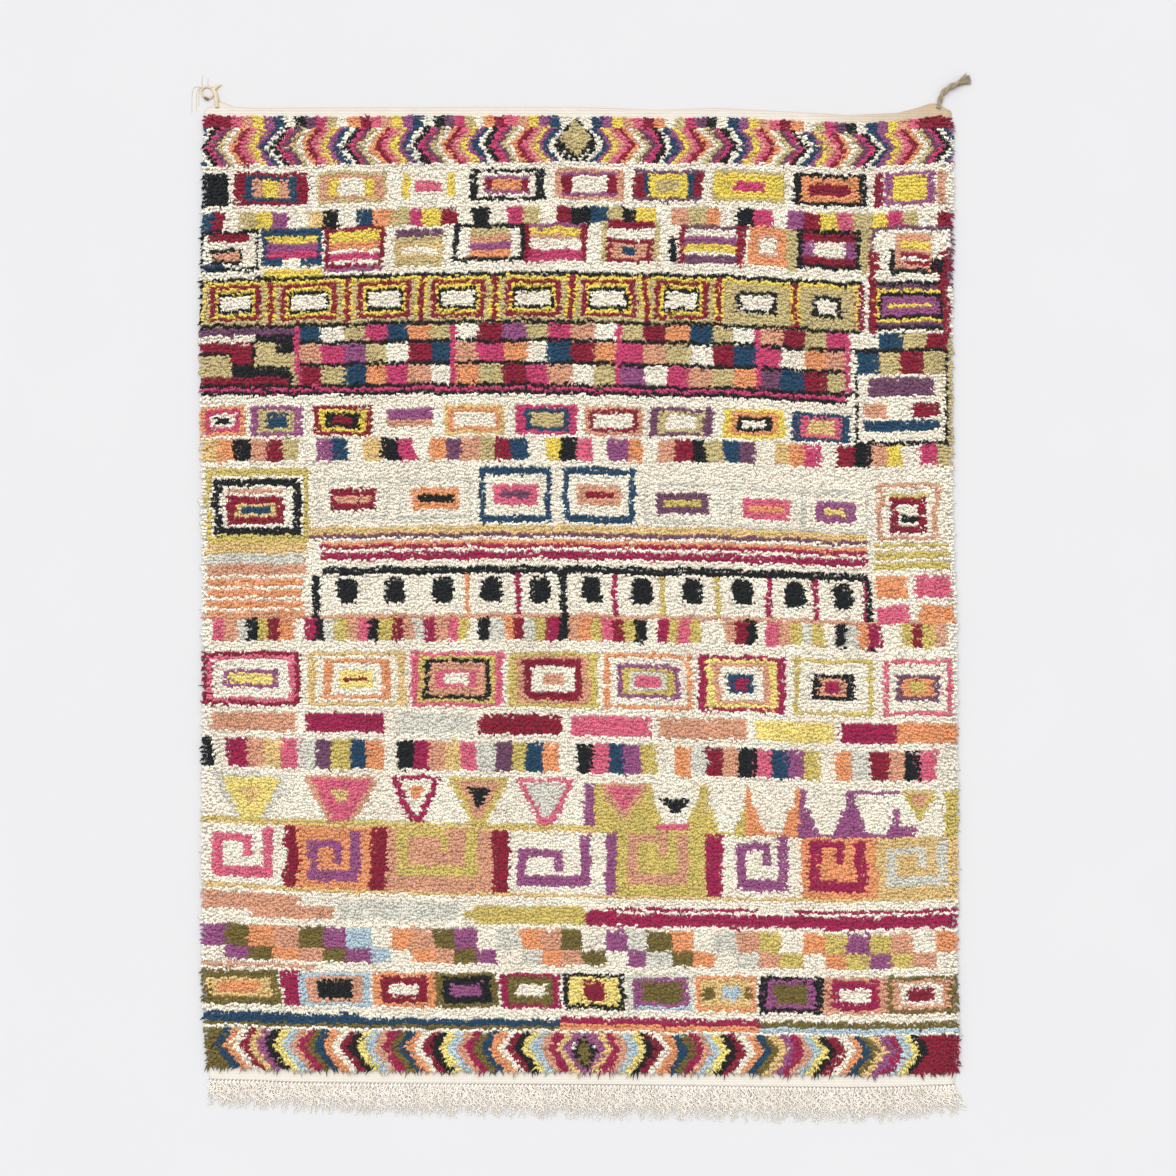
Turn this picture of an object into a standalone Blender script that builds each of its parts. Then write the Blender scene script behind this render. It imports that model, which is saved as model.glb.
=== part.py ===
"""Hand-knotted wool rug lying flat, with flat-woven ends, a warp fringe and two corner ties.

Metres, +Z up. The rug lies on the plane z = 0 with its width along X and its length along Y,
and the origin is the middle of the underside of the whole thing.
"""
import math
import random
from collections import namedtuple

import bmesh
import bpy
import numpy as np
from mathutils import Vector, noise

SEED = 11
SEAM_GAP = 0.0003

# The woven cloth: the size between its nominal straight sides, and how it is layered.
WOVEN_WIDTH = 2.00
WOVEN_LENGTH = 2.61
GROUND = 0.004
HEM = 0.0055
PILE_HEIGHT = 0.022
FLAT_END_TOP = 0.024
FLAT_END_BOTTOM = 0.034

# The relief of the pile: ribs across the rug, soft lumps, and locks along both sides.
COLUMNS = 28
ROWS = 72
RIB_RELIEF = 0.0014
LUMP_RELIEF = 0.0032
LUMP_SIZE = 0.11
RIM_HEIGHT = 0.013
RIM_WIDTH = 0.035
LOCK_REACH = 0.012
SELVEDGE_INSET = 0.007

# The warp fringe below the bottom end.
STRANDS = 144
KNOT_DEPTH = 0.008
KNOT_HEIGHT = 0.0045
KNOT_CROWN = 0.002
STRAND_WIDTH = 0.0058
STRAND_TIP = 0.0026
STRAND_STEPS = 3
STRAND_RAGGED = 0.011
KINK = 0.005
KINK_ALONG = 0.070
KINK_ACROSS = 0.13
SPLAY = 0.028
SPLAY_FROM = 0.90

# The corner ties at the top end.
CORD_RADIUS = 0.0085
CORD_TURN = 0.050
TIE_RADIUS = 0.0050
HAIR_RADIUS = 0.0011
ROOT_CLEAR = 0.003

# How far each side strays outward of the nominal straight one, at places along it.
Stray = namedtuple("Stray", "along out")
TOP_SIDE = (
    Stray(-1.000, -0.010), Stray(-0.973, 0.009), Stray(-0.930, -0.006), Stray(-0.877, -0.009),
    Stray(-0.260, -0.006), Stray(0.000, -0.006), Stray(0.216, -0.014), Stray(0.376, -0.009),
    Stray(0.592, -0.020), Stray(0.720, -0.028), Stray(0.856, -0.022), Stray(0.910, -0.010),
    Stray(0.957, 0.003), Stray(0.973, 0.003), Stray(1.000, -0.016),
)
BOTTOM_SIDE = (
    Stray(-1.000, -0.004), Stray(-0.877, -0.001), Stray(-0.770, 0.004), Stray(-0.477, 0.007),
    Stray(0.000, 0.010), Stray(0.456, 0.015), Stray(0.723, 0.018), Stray(0.856, 0.016),
    Stray(1.000, 0.010),
)
LEFT_SIDE = (
    Stray(-1.305, -0.011), Stray(-1.265, -0.009), Stray(-1.220, -0.003), Stray(-1.030, 0.007),
    Stray(-0.550, 0.004), Stray(-0.020, 0.003), Stray(0.250, 0.005), Stray(0.710, 0.011),
    Stray(1.050, 0.003), Stray(1.250, 0.000), Stray(1.283, 0.004), Stray(1.305, -0.013),
)
RIGHT_SIDE = (
    Stray(-1.310, 0.004), Stray(-1.270, 0.011), Stray(-1.245, 0.013), Stray(-1.085, 0.011),
    Stray(-0.980, 0.008), Stray(-0.690, 0.009), Stray(-0.285, 0.008), Stray(-0.020, 0.005),
    Stray(0.090, -0.003), Stray(0.250, -0.005), Stray(0.780, -0.005), Stray(1.235, -0.003),
    Stray(1.283, -0.004), Stray(1.310, -0.020),
)

# The fringe's length below the knots, at places along the bottom end.
Reach = namedtuple("Reach", "along length")
FRINGE = (
    Reach(-1.00, 0.058), Reach(-0.75, 0.066), Reach(-0.40, 0.070), Reach(0.00, 0.072),
    Reach(0.50, 0.070), Reach(0.85, 0.068), Reach(1.00, 0.062),
)

# Routes of the ties on the floor, with the thickness of each place as a share of its radius.
Place = namedtuple("Place", "x y share")
RIGHT_CORD = (
    Place(0.9605, 1.3085, 0.85), Place(0.9665, 1.3250, 0.90), Place(0.9780, 1.3420, 1.00),
    Place(0.9945, 1.3535, 1.05), Place(1.0115, 1.3605, 1.05), Place(1.0255, 1.3685, 0.80),
)
RIGHT_BRUSH = (
    (Place(1.0170, 1.3640, 0.62), Place(1.0310, 1.3795, 0.40), Place(1.0350, 1.3925, 0.12)),
    (Place(1.0170, 1.3640, 0.62), Place(1.0355, 1.3765, 0.42), Place(1.0440, 1.3845, 0.12)),
    (Place(1.0170, 1.3636, 0.62), Place(1.0385, 1.3715, 0.42), Place(1.0505, 1.3745, 0.12)),
    (Place(1.0170, 1.3632, 0.62), Place(1.0380, 1.3655, 0.40), Place(1.0500, 1.3600, 0.12)),
)
LEFT_STEM = (
    Place(-0.9665, 1.3120, 1.15), Place(-0.9700, 1.3270, 1.10), Place(-0.9745, 1.3400, 0.95),
    Place(-0.9800, 1.3490, 0.80),
)
LEFT_LOOP = (
    Place(-0.9830, 1.3500, 0.62), Place(-0.9960, 1.3530, 0.58), Place(-1.0060, 1.3480, 0.55),
    Place(-1.0095, 1.3400, 0.55), Place(-1.0050, 1.3290, 0.62), Place(-0.9950, 1.3220, 0.70),
    Place(-0.9840, 1.3245, 0.62), Place(-0.9760, 1.3350, 0.55),
)
LEFT_ENDS = (
    (Place(-0.9760, 1.3440, 0.75), Place(-0.9670, 1.3530, 0.70), Place(-0.9550, 1.3590, 0.35)),
)
LEFT_HAIRS = (
    (Place(-1.0060, 1.3490, 1.0), Place(-1.0085, 1.3650, 0.9), Place(-1.0060, 1.3860, 0.6)),
    (Place(-1.0050, 1.3500, 1.0), Place(-1.0210, 1.3420, 0.9), Place(-1.0230, 1.2860, 0.6)),
    (Place(-1.0040, 1.3520, 1.0), Place(-1.0330, 1.3470, 0.9), Place(-1.0365, 1.2800, 0.6)),
)


def remove_everything():
    for obj in list(bpy.data.objects):
        bpy.data.objects.remove(obj, do_unlink=True)


def new_collection(name):
    collection = bpy.data.collections.new(name)
    bpy.context.scene.collection.children.link(collection)
    return collection


def yarn_material(name, colour, roughness=0.95):
    material = bpy.data.materials.new(name)
    material.use_nodes = True
    shader = material.node_tree.nodes["Principled BSDF"]
    shader.inputs["Base Color"].default_value = (*colour, 1.0)
    shader.inputs["Roughness"].default_value = roughness
    shader.inputs["Metallic"].default_value = 0.0
    return material


def piece_from(bm, name, collection, material):
    """Make a named object of a finished bmesh."""
    bmesh.ops.recalc_face_normals(bm, faces=bm.faces)
    mesh = bpy.data.meshes.new(name)
    bm.to_mesh(mesh)
    bm.free()
    mesh.materials.append(material)
    obj = bpy.data.objects.new(name, mesh)
    collection.objects.link(obj)
    return obj


def stray(side, along):
    return float(np.interp(along, [s.along for s in side], [s.out for s in side]))


def across_share(column):
    """Share of the width at a column: the columns stand closer near both sides."""
    t = column / COLUMNS
    return 0.35 * t + 0.65 * (0.5 - 0.5 * math.cos(math.pi * t))


def side_rows():
    """Distances of the rows from the bottom end, and their heights: flat ends, then pile."""
    pile = WOVEN_LENGTH - FLAT_END_TOP - FLAT_END_BOTTOM
    rise = 0.009
    rows = [(0.0, GROUND, 0.0), (FLAT_END_BOTTOM, GROUND, 0.0)]
    rows.append((FLAT_END_BOTTOM + rise, PILE_HEIGHT * 0.8, 0.5))
    step = (pile - 2 * rise) / (ROWS + 1)
    for row in range(ROWS):
        rows.append((FLAT_END_BOTTOM + rise + step * (row + 1), PILE_HEIGHT, 1.0))
    rows.append((WOVEN_LENGTH - FLAT_END_TOP - rise, PILE_HEIGHT * 0.8, 0.5))
    rows.append((WOVEN_LENGTH - FLAT_END_TOP, GROUND, 0.0))
    rows.append((WOVEN_LENGTH, HEM, 0.0))
    return rows


def outline_point(share_x, distance):
    """Place in the plane of a point of the cloth, from its share of the width and its row."""
    x = (share_x - 0.5) * WOVEN_WIDTH
    share_y = distance / WOVEN_LENGTH
    bottom = -WOVEN_LENGTH / 2 - stray(BOTTOM_SIDE, x)
    top = WOVEN_LENGTH / 2 + stray(TOP_SIDE, x)
    y = bottom + (top - bottom) * share_y
    in_pile = FLAT_END_BOTTOM < distance < WOVEN_LENGTH - FLAT_END_TOP
    back = LOCK_REACH * 0.75 if in_pile else 0.0
    left = -WOVEN_WIDTH / 2 - stray(LEFT_SIDE, y) + back
    right = WOVEN_WIDTH / 2 + stray(RIGHT_SIDE, y) - back
    return left + (right - left) * share_x, y


def end_line(distance):
    """The straight runs between columns along one end, as two lists for interpolation."""
    points = [outline_point(across_share(c), distance) for c in range(COLUMNS + 1)]
    return [p[0] for p in points], [p[1] for p in points]


def lumps(x, y):
    at = Vector((x / LUMP_SIZE, y / (LUMP_SIZE * 0.6), 3.7))
    return LUMP_RELIEF * noise.noise(at)


def cloth_height(column, row, base, pile, x, y):
    if pile == 0.0:
        return base
    rib = RIB_RELIEF * (1 if row % 2 else -1)
    height = base + pile * (rib + lumps(x, y))
    to_side = min(across_share(column), 1 - across_share(column)) * WOVEN_WIDTH
    rim = min(to_side / RIM_WIDTH, 1.0)
    return RIM_HEIGHT * (0.75 + 0.25 * pile) * (1 - rim) + height * rim


def move_rows(bm, rows):
    """Give the flat grid the rug's outline and relief."""
    for vert in bm.verts:
        column = round((vert.co.x + 1) / 2 * COLUMNS)
        row = round((vert.co.y + 1) / 2 * (len(rows) - 1))
        distance, base, pile = rows[row]
        x, y = outline_point(across_share(column), distance)
        vert.co = (x, y, cloth_height(column, row, base, pile, x, y))


def split_side_edges(bm):
    """Two locks to each row: the pile's edge along both sides gets a point between rows."""
    edges = []
    for edge in bm.edges:
        a, b = (v.co for v in edge.verts)
        upright = abs(a.x - b.x) < abs(a.y - b.y)
        if edge.is_boundary and upright and min(a.z, b.z) > GROUND * 2:
            edges.append(edge)
    bmesh.ops.subdivide_edges(bm, edges=edges, cuts=1)


def grow_locks(bm, walls, dice):
    """Draw each wall face along the sides out to a blunt, leaning tip."""
    grown = bmesh.ops.extrude_discrete_faces(bm, faces=walls)
    for face in grown["faces"]:
        centre = face.calc_center_median()
        outward = math.copysign(1.0, centre.x)
        reach = LOCK_REACH * dice.uniform(0.8, 1.1)
        tip = Vector((centre.x + outward * reach, centre.y + dice.uniform(-0.004, 0.004), 0.0))
        for vert in face.verts:
            y = tip.y + (vert.co.y - centre.y) * 0.5
            z = 0.0008 + vert.co.z * 0.55
            x = tip.x + (vert.co.x - centre.x) * 0.3
            vert.co = (x, y, z)


def make_rug(collection):
    """One closed solid: ground, both flat-woven ends and the pile with its locks."""
    dice = random.Random(SEED)
    rows = side_rows()
    bm = bmesh.new()
    bmesh.ops.create_grid(bm, x_segments=COLUMNS, y_segments=len(rows) - 1, size=1.0)
    move_rows(bm, rows)
    split_side_edges(bm)
    rim = [edge for edge in bm.edges if edge.is_boundary]
    grown = bmesh.ops.extrude_edge_only(bm, edges=rim)["geom"]
    for vert in (g for g in grown if isinstance(g, bmesh.types.BMVert)):
        if vert.co.z > HEM + 0.001:
            vert.co.x -= math.copysign(SELVEDGE_INSET, vert.co.x)
        vert.co.z = 0.0
    underside = [g for g in grown if isinstance(g, bmesh.types.BMEdge) and g.is_boundary]
    bmesh.ops.contextual_create(bm, geom=underside)
    bmesh.ops.recalc_face_normals(bm, faces=bm.faces)
    walls = [f for f in bm.faces if len(f.verts) == 4 and is_side_wall(f)]
    grow_locks(bm, walls, dice)
    return piece_from(bm, "rug", collection, yarn_material("knotted_wool", (0.66, 0.50, 0.37)))


def is_side_wall(face):
    steep = abs(face.normal.x) > 0.5 and abs(face.normal.y) < 0.5
    heights = [v.co.z for v in face.verts]
    in_pile = max(heights) > GROUND * 2 and sum(h > GROUND * 1.5 for h in heights) == 2
    near_side = abs(face.calc_center_median().x) > WOVEN_WIDTH / 2 - 3 * LOCK_REACH
    return steep and in_pile and near_side


def strand_shift(x, distance, length):
    """Sideways place of a strand: neighbours kink together, and the right end splays."""
    grown = min(distance / 0.03, 1.0)
    kink = KINK * grown * math.sin(math.tau * (x / KINK_ACROSS + distance / KINK_ALONG))
    lean = SPLAY * max(0.0, (x - SPLAY_FROM) / (1.0 - SPLAY_FROM)) * (distance / length) ** 1.5
    return kink + lean


def grow_strands(bm, faces, dice):
    """Draw each knot's front face out along the floor in short runs that taper."""
    reach_x = [r.along for r in FRINGE]
    reach_y = [r.length for r in FRINGE]
    roots = {}
    for face in faces:
        centre = face.calc_center_median()
        length = float(np.interp(centre.x, reach_x, reach_y)) + dice.uniform(-1, 0.6) * STRAND_RAGGED
        roots[face] = (centre.x, centre.y, length)
    for step in range(1, STRAND_STEPS + 1):
        share = step / STRAND_STEPS
        grown = {}
        for face, root in roots.items():
            root_x, root_y, length = root
            tip = bmesh.ops.extrude_discrete_faces(bm, faces=[face])["faces"][0]
            half = (STRAND_WIDTH + (STRAND_TIP - STRAND_WIDTH) * share) / 2
            height = KNOT_HEIGHT * (1 - share) + STRAND_TIP * share
            middle = tip.calc_center_median()
            x = root_x + strand_shift(root_x, share * length, length)
            for vert in tip.verts:
                side = 1 if vert.co.x > middle.x else -1
                up = height if vert.co.z > middle.z else 0.0
                vert.co = (x + side * half, root_y - share * length, up)
            grown[tip] = root
        roots = grown


def make_fringe(collection):
    """A narrow strip of warp knots just off the bottom end, with one strand from each knot."""
    dice = random.Random(SEED + 1)
    line_x, line_y = end_line(0.0)
    left = line_x[0] + 0.002
    pitch = (line_x[-1] - 0.002 - left + (line_x[-1] - left) / STRANDS / 2) / STRANDS
    bm = bmesh.new()
    cells = 2 * STRANDS - 1
    bmesh.ops.create_grid(bm, x_segments=cells, y_segments=1, size=1.0)
    for vert in bm.verts:
        column = round((vert.co.x + 1) / 2 * cells)
        x = left + (column // 2) * pitch + (STRAND_WIDTH if column % 2 else 0.0)
        back = float(np.interp(x, line_x, line_y)) - SEAM_GAP
        front = vert.co.y < 0
        vert.co = (x, back - (KNOT_DEPTH if front else 0.0), KNOT_HEIGHT if front else GROUND)
    knots = [f for f in bm.faces if max(v.co.x for v in f.verts) - min(v.co.x for v in f.verts)
             < STRAND_WIDTH * 1.01]
    rim = [edge for edge in bm.edges if edge.is_boundary]
    grown = bmesh.ops.extrude_edge_only(bm, edges=rim)["geom"]
    for vert in (g for g in grown if isinstance(g, bmesh.types.BMVert)):
        vert.co.z = 0.0
    underside = [g for g in grown if isinstance(g, bmesh.types.BMEdge) and g.is_boundary]
    bmesh.ops.contextual_create(bm, geom=underside)
    bmesh.ops.poke(bm, faces=knots, offset=KNOT_CROWN)
    bmesh.ops.recalc_face_normals(bm, faces=bm.faces)
    fronts = []
    for face in bm.faces:
        width = max(v.co.x for v in face.verts) - min(v.co.x for v in face.verts)
        if face.normal.y < -0.9 and len(face.verts) == 4 and width < STRAND_WIDTH * 1.01:
            fronts.append(face)
    fronts.sort(key=lambda f: f.calc_center_median().x)
    grow_strands(bm, fronts, dice)
    return piece_from(bm, "warp_fringe", collection, yarn_material("warp_yarn", (0.86, 0.78, 0.64)))


def smooth_route(places, steps):
    """Points on a smooth curve through the places, as (x, y, share)."""
    p = [np.array(place) for place in places]
    p = [2 * p[0] - p[1]] + p + [2 * p[-1] - p[-2]]
    route = []
    for a, b, c, d in zip(p, p[1:], p[2:], p[3:]):
        for step in range(steps):
            t = step / steps
            route.append(0.5 * (2 * b + (c - a) * t + (2 * a - 5 * b + 4 * c - d) * t * t
                                + (3 * b - a - 3 * c + d) * t ** 3))
    route.append(p[-2])
    return route


def yarn_curve(name, places, radius, guides, steps=3, sides=2, closed=False):
    """A tapering yarn along the floor, as a curve with a round bevel."""
    curve = bpy.data.curves.new(name, "CURVE")
    curve.dimensions = "3D"
    curve.twist_mode = "Z_UP"
    curve.bevel_depth = radius
    curve.bevel_resolution = sides
    curve.use_fill_caps = not closed
    if closed:
        route = smooth_route((*places[-1:], *places, *places[:1]), steps)[steps:-steps - 1]
    else:
        route = smooth_route(places, steps)
    spline = curve.splines.new("POLY")
    spline.points.add(len(route) - 1)
    spline.use_cyclic_u = closed
    for point, (x, y, share) in zip(spline.points, route):
        point.co = (x, y, radius * share * 0.92, 1.0)
        point.radius = share
    obj = bpy.data.objects.new(name, curve)
    guides.objects.link(obj)
    return obj


def twist_curve(obj, radius, turn, guides):
    """Make a yarn two-ply: a section of two lobes that turns along the route."""
    profile = bpy.data.curves.new("two_ply_section", "CURVE")
    profile.dimensions = "2D"
    outline = profile.splines.new("POLY")
    sides = 12
    outline.points.add(sides - 1)
    outline.use_cyclic_u = True
    for index, point in enumerate(outline.points):
        angle = math.tau * index / sides
        reach = radius * (0.76 + 0.24 * math.cos(2 * angle))
        point.co = (reach * math.cos(angle), reach * math.sin(angle), 0.0, 1.0)
    section = bpy.data.objects.new("two_ply_section", profile)
    guides.objects.link(section)
    obj.data.bevel_mode = "OBJECT"
    obj.data.bevel_object = section
    points = obj.data.splines[0].points
    travelled = 0.0
    for before, point in zip(points, points[1:]):
        travelled += (point.co.to_3d() - before.co.to_3d()).length
        point.tilt = math.tau * travelled / turn


def solid_of(curve_obj, collection, material):
    """Turn a curve into a closed mesh that rests on the floor."""
    depsgraph = bpy.context.evaluated_depsgraph_get()
    mesh = bpy.data.meshes.new_from_object(curve_obj.evaluated_get(depsgraph))
    mesh.name = curve_obj.name
    bm = bmesh.new()
    bm.from_mesh(mesh)
    bmesh.ops.remove_doubles(bm, verts=bm.verts, dist=1e-6)
    for vert in bm.verts:
        vert.co.z = max(vert.co.z, 0.0)
    bmesh.ops.recalc_face_normals(bm, faces=bm.faces)
    bm.to_mesh(mesh)
    bm.free()
    mesh.materials.clear()
    mesh.materials.append(material)
    name = curve_obj.name
    bpy.data.objects.remove(curve_obj, do_unlink=True)
    obj = bpy.data.objects.new(name, mesh)
    collection.objects.link(obj)
    return obj


def seated(places):
    """A tie's route with its root moved to the cloth's top end, a little off it."""
    root = places[0]
    on_end = float(np.interp(root.x, *end_line(WOVEN_LENGTH)))
    return (Place(root.x, on_end + SEAM_GAP + ROOT_CLEAR, root.share), *places[1:])


def trim_root(obj, places, radius):
    """Move the root's end face onto the cloth's edge, with the seam gap left between them."""
    root = Vector((places[0].x, places[0].y, 0.0))
    away = Vector((places[1].x, places[1].y, 0.0)) - root
    for vert in obj.data.vertices:
        offset = Vector((vert.co.x, vert.co.y, 0.0)) - root
        if offset.length < 1.5 * radius and offset.dot(away) < 1e-3 * away.length:
            vert.co.y = float(np.interp(vert.co.x, *end_line(WOVEN_LENGTH))) + SEAM_GAP


def fuse(base, others):
    """Join yarns that grow out of one another into one solid."""
    for other in others:
        join = base.modifiers.new(f"joined_{other.name}", "BOOLEAN")
        join.operation = "UNION"
        join.object = other
        other.hide_render = True
        other.display_type = "WIRE"


def make_right_tie(collection, guides):
    """A thick two-ply cord at the right corner, its end opened out into a brush."""
    material = yarn_material("tie_yarn", (0.62, 0.53, 0.40))
    route = seated(RIGHT_CORD)
    cord = yarn_curve("right_corner_tie", route, CORD_RADIUS, guides)
    twist_curve(cord, CORD_RADIUS, CORD_TURN, guides)
    bpy.context.view_layer.update()
    cord = solid_of(cord, collection, material)
    trim_root(cord, route, CORD_RADIUS)
    brush = []
    for index, places in enumerate(RIGHT_BRUSH):
        lock = yarn_curve(f"brush_{index}", places, CORD_RADIUS, guides, steps=2, sides=1)
        brush.append(solid_of(lock, guides, material))
    fuse(cord, brush)
    return cord


def make_left_tie(collection, guides):
    """A bundle of warp ends at the left corner: a stem, a loop, a cut end and loose hairs."""
    material = yarn_material("warp_tie_yarn", (0.80, 0.70, 0.54))
    route = seated(LEFT_STEM)
    stem = yarn_curve("left_corner_tie", route, TIE_RADIUS, guides)
    stem = solid_of(stem, collection, material)
    trim_root(stem, route, TIE_RADIUS)
    parts = [yarn_curve("left_loop", LEFT_LOOP, TIE_RADIUS, guides, steps=2, closed=True)]
    for index, places in enumerate(LEFT_ENDS):
        parts.append(yarn_curve(f"left_end_{index}", places, TIE_RADIUS, guides, steps=2))
    for index, places in enumerate(LEFT_HAIRS):
        parts.append(yarn_curve(f"left_hair_{index}", places, HAIR_RADIUS, guides, steps=2, sides=0))
    fuse(stem, [solid_of(part, guides, material) for part in parts])
    return stem


def centre_on_box(pieces, name):
    """Carry the pieces on an empty that puts the origin under the middle of their box."""
    bpy.context.view_layer.update()
    depsgraph = bpy.context.evaluated_depsgraph_get()
    corners = [Vector(c) for piece in pieces for c in piece.evaluated_get(depsgraph).bound_box]
    middle = [(min(c[axis] for c in corners) + max(c[axis] for c in corners)) / 2 for axis in (0, 1)]
    carrier = bpy.data.objects.new(f"{name}_centre", None)
    bpy.context.scene.collection.objects.link(carrier)
    carrier.location = (-middle[0], -middle[1], 0.0)
    for piece in pieces:
        piece.parent = carrier


def main():
    remove_everything()
    collection = new_collection("wool_rug")
    guides = new_collection("guides")
    pieces = [
        make_rug(collection),
        make_fringe(collection),
        make_right_tie(collection, guides),
        make_left_tie(collection, guides),
    ]
    centre_on_box([*pieces, *guides.objects], "wool_rug")
    for guide in guides.objects:
        guide.hide_render = True
        guide.display_type = "WIRE"


main()
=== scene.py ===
"""Looks of a hand-knotted wool rug: coloured pile, flat-woven ends, a warp fringe and two corner ties.

Metres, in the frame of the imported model. The pattern is worked out by rule on the grid of knots, from
short words in which each letter is a yarn.
"""

import math
from collections import namedtuple

import bpy
import numpy as np
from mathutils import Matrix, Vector


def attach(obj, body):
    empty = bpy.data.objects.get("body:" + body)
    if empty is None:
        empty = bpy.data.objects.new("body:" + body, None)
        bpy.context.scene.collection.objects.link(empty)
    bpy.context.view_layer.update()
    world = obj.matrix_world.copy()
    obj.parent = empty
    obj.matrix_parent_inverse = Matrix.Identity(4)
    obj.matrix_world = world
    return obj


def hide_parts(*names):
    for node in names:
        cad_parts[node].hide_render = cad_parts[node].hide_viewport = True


bl_info = {
    "name": "Hand-knotted wool rug",
    "version": (1, 0, 0),
    "blender": (4, 5, 0),
    "location": "3D view, sidebar, Wool rug",
    "description": "Knots, weaves and lights a banded wool rug around its packed solids",
    "category": "Object",
}

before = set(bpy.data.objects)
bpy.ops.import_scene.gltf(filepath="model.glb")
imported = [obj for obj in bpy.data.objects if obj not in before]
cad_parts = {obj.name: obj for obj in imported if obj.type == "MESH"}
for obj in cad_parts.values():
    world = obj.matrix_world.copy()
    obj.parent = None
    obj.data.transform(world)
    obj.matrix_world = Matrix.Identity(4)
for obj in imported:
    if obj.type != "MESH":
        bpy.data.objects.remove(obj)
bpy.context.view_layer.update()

# The woven cloth, as in the part's source, and how far the packing moved it to centre the whole rug.
WOVEN_WIDTH = 2.00
WOVEN_LENGTH = 2.61
FLAT_END_TOP = 0.024
FLAT_END_BOTTOM = 0.034
PILE_TOP = WOVEN_LENGTH - FLAT_END_TOP
PILE_LENGTH = PILE_TOP - FLAT_END_BOTTOM
CENTRED_BY = (-0.0068, 0.0062)

# How far each side of the cloth stands out from its straight line, along that side.
Stray = namedtuple("Stray", "along out")
TOP_SIDE = (
    Stray(-1.000, -0.010), Stray(-0.973, 0.009), Stray(-0.930, -0.006), Stray(-0.877, -0.009),
    Stray(-0.260, -0.006), Stray(0.000, -0.006), Stray(0.216, -0.014), Stray(0.376, -0.009),
    Stray(0.592, -0.020), Stray(0.720, -0.028), Stray(0.856, -0.022), Stray(0.910, -0.010),
    Stray(0.957, 0.003), Stray(0.973, 0.003), Stray(1.000, -0.016),
)
BOTTOM_SIDE = (
    Stray(-1.000, -0.004), Stray(-0.877, -0.001), Stray(-0.770, 0.004), Stray(-0.477, 0.007),
    Stray(0.000, 0.010), Stray(0.456, 0.015), Stray(0.723, 0.018), Stray(0.856, 0.016),
    Stray(1.000, 0.010),
)
LEFT_SIDE = (
    Stray(-1.305, -0.011), Stray(-1.265, -0.009), Stray(-1.220, -0.003), Stray(-1.030, 0.007),
    Stray(-0.550, 0.004), Stray(-0.020, 0.003), Stray(0.250, 0.005), Stray(0.710, 0.011),
    Stray(1.050, 0.003), Stray(1.250, 0.000), Stray(1.283, 0.004), Stray(1.305, -0.013),
)
RIGHT_SIDE = (
    Stray(-1.310, 0.004), Stray(-1.270, 0.011), Stray(-1.245, 0.013), Stray(-1.085, 0.011),
    Stray(-0.980, 0.008), Stray(-0.690, 0.009), Stray(-0.285, 0.008), Stray(-0.020, 0.005),
    Stray(0.090, -0.003), Stray(0.250, -0.005), Stray(0.780, -0.005), Stray(1.235, -0.003),
    Stray(1.283, -0.004), Stray(1.310, -0.020),
)
Reach = namedtuple("Reach", "along length")
FRINGE = (
    Reach(-1.00, 0.064), Reach(-0.75, 0.072), Reach(-0.40, 0.080), Reach(0.00, 0.084),
    Reach(0.50, 0.088), Reach(0.85, 0.086), Reach(1.00, 0.072),
)
STRANDS_PER_KNOT = 6

# The corner ties, on the same routes as their solids. Each place has its share of the full thickness.
CORD_RADIUS = 0.0085
CORD_TURN = 0.050
TIE_RADIUS = 0.0050
HAIR_RADIUS = 0.0009
# A yarn goes once round its ply, and the winding once round the loop, in this length.
YARN_TURN = 0.022
WINDING_TURN = 0.0035
Place = namedtuple("Place", "x y share")
RIGHT_CORD = (
    Place(0.9605, 1.2950, 0.85), Place(0.9665, 1.3250, 0.90), Place(0.9780, 1.3420, 1.00),
    Place(0.9945, 1.3535, 1.05), Place(1.0115, 1.3605, 1.00), Place(1.0225, 1.3665, 0.80),
)
BRUSH_ROOT = Place(1.0150, 1.3625, 0.62)
BRUSH_TIPS = (Place(1.0350, 1.3905, 0.1), Place(1.0440, 1.3840, 0.1), Place(1.0500, 1.3740, 0.1),
              Place(1.0490, 1.3610, 0.1))
LEFT_STEM = (
    Place(-0.9665, 1.2980, 1.15), Place(-0.9700, 1.3270, 1.10), Place(-0.9745, 1.3400, 0.95),
    Place(-0.9800, 1.3490, 0.80),
)
LEFT_LOOP = (
    Place(-0.9830, 1.3500, 0.62), Place(-0.9960, 1.3530, 0.58), Place(-1.0060, 1.3480, 0.55),
    Place(-1.0095, 1.3400, 0.55), Place(-1.0050, 1.3290, 0.62), Place(-0.9950, 1.3220, 0.70),
    Place(-0.9840, 1.3245, 0.62), Place(-0.9760, 1.3350, 0.55),
)
LEFT_BEAK = (Place(-0.9760, 1.3440, 0.75), Place(-0.9670, 1.3530, 0.70), Place(-0.9560, 1.3585, 0.35))
LEFT_KNOT = (Place(-1.0010, 1.3235, 0.9), Place(-0.9950, 1.3205, 1.0), Place(-0.9890, 1.3205, 0.9))
LEFT_HAIRS = (
    (Place(-1.0060, 1.3490, 1.0), Place(-1.0085, 1.3650, 0.9), Place(-1.0060, 1.3850, 0.6)),
    (Place(-1.0050, 1.3500, 1.0), Place(-1.0210, 1.3420, 0.9), Place(-1.0230, 1.2870, 0.6)),
    (Place(-1.0040, 1.3520, 1.0), Place(-1.0320, 1.3470, 0.9), Place(-1.0355, 1.2810, 0.6)),
    (Place(-1.0000, 1.3520, 1.0), Place(-1.0150, 1.3460, 0.9), Place(-1.0170, 1.3020, 0.6)),
    (Place(-0.9900, 1.3520, 1.0), Place(-0.9930, 1.3640, 0.9), Place(-0.9910, 1.3760, 0.6)),
)

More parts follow.
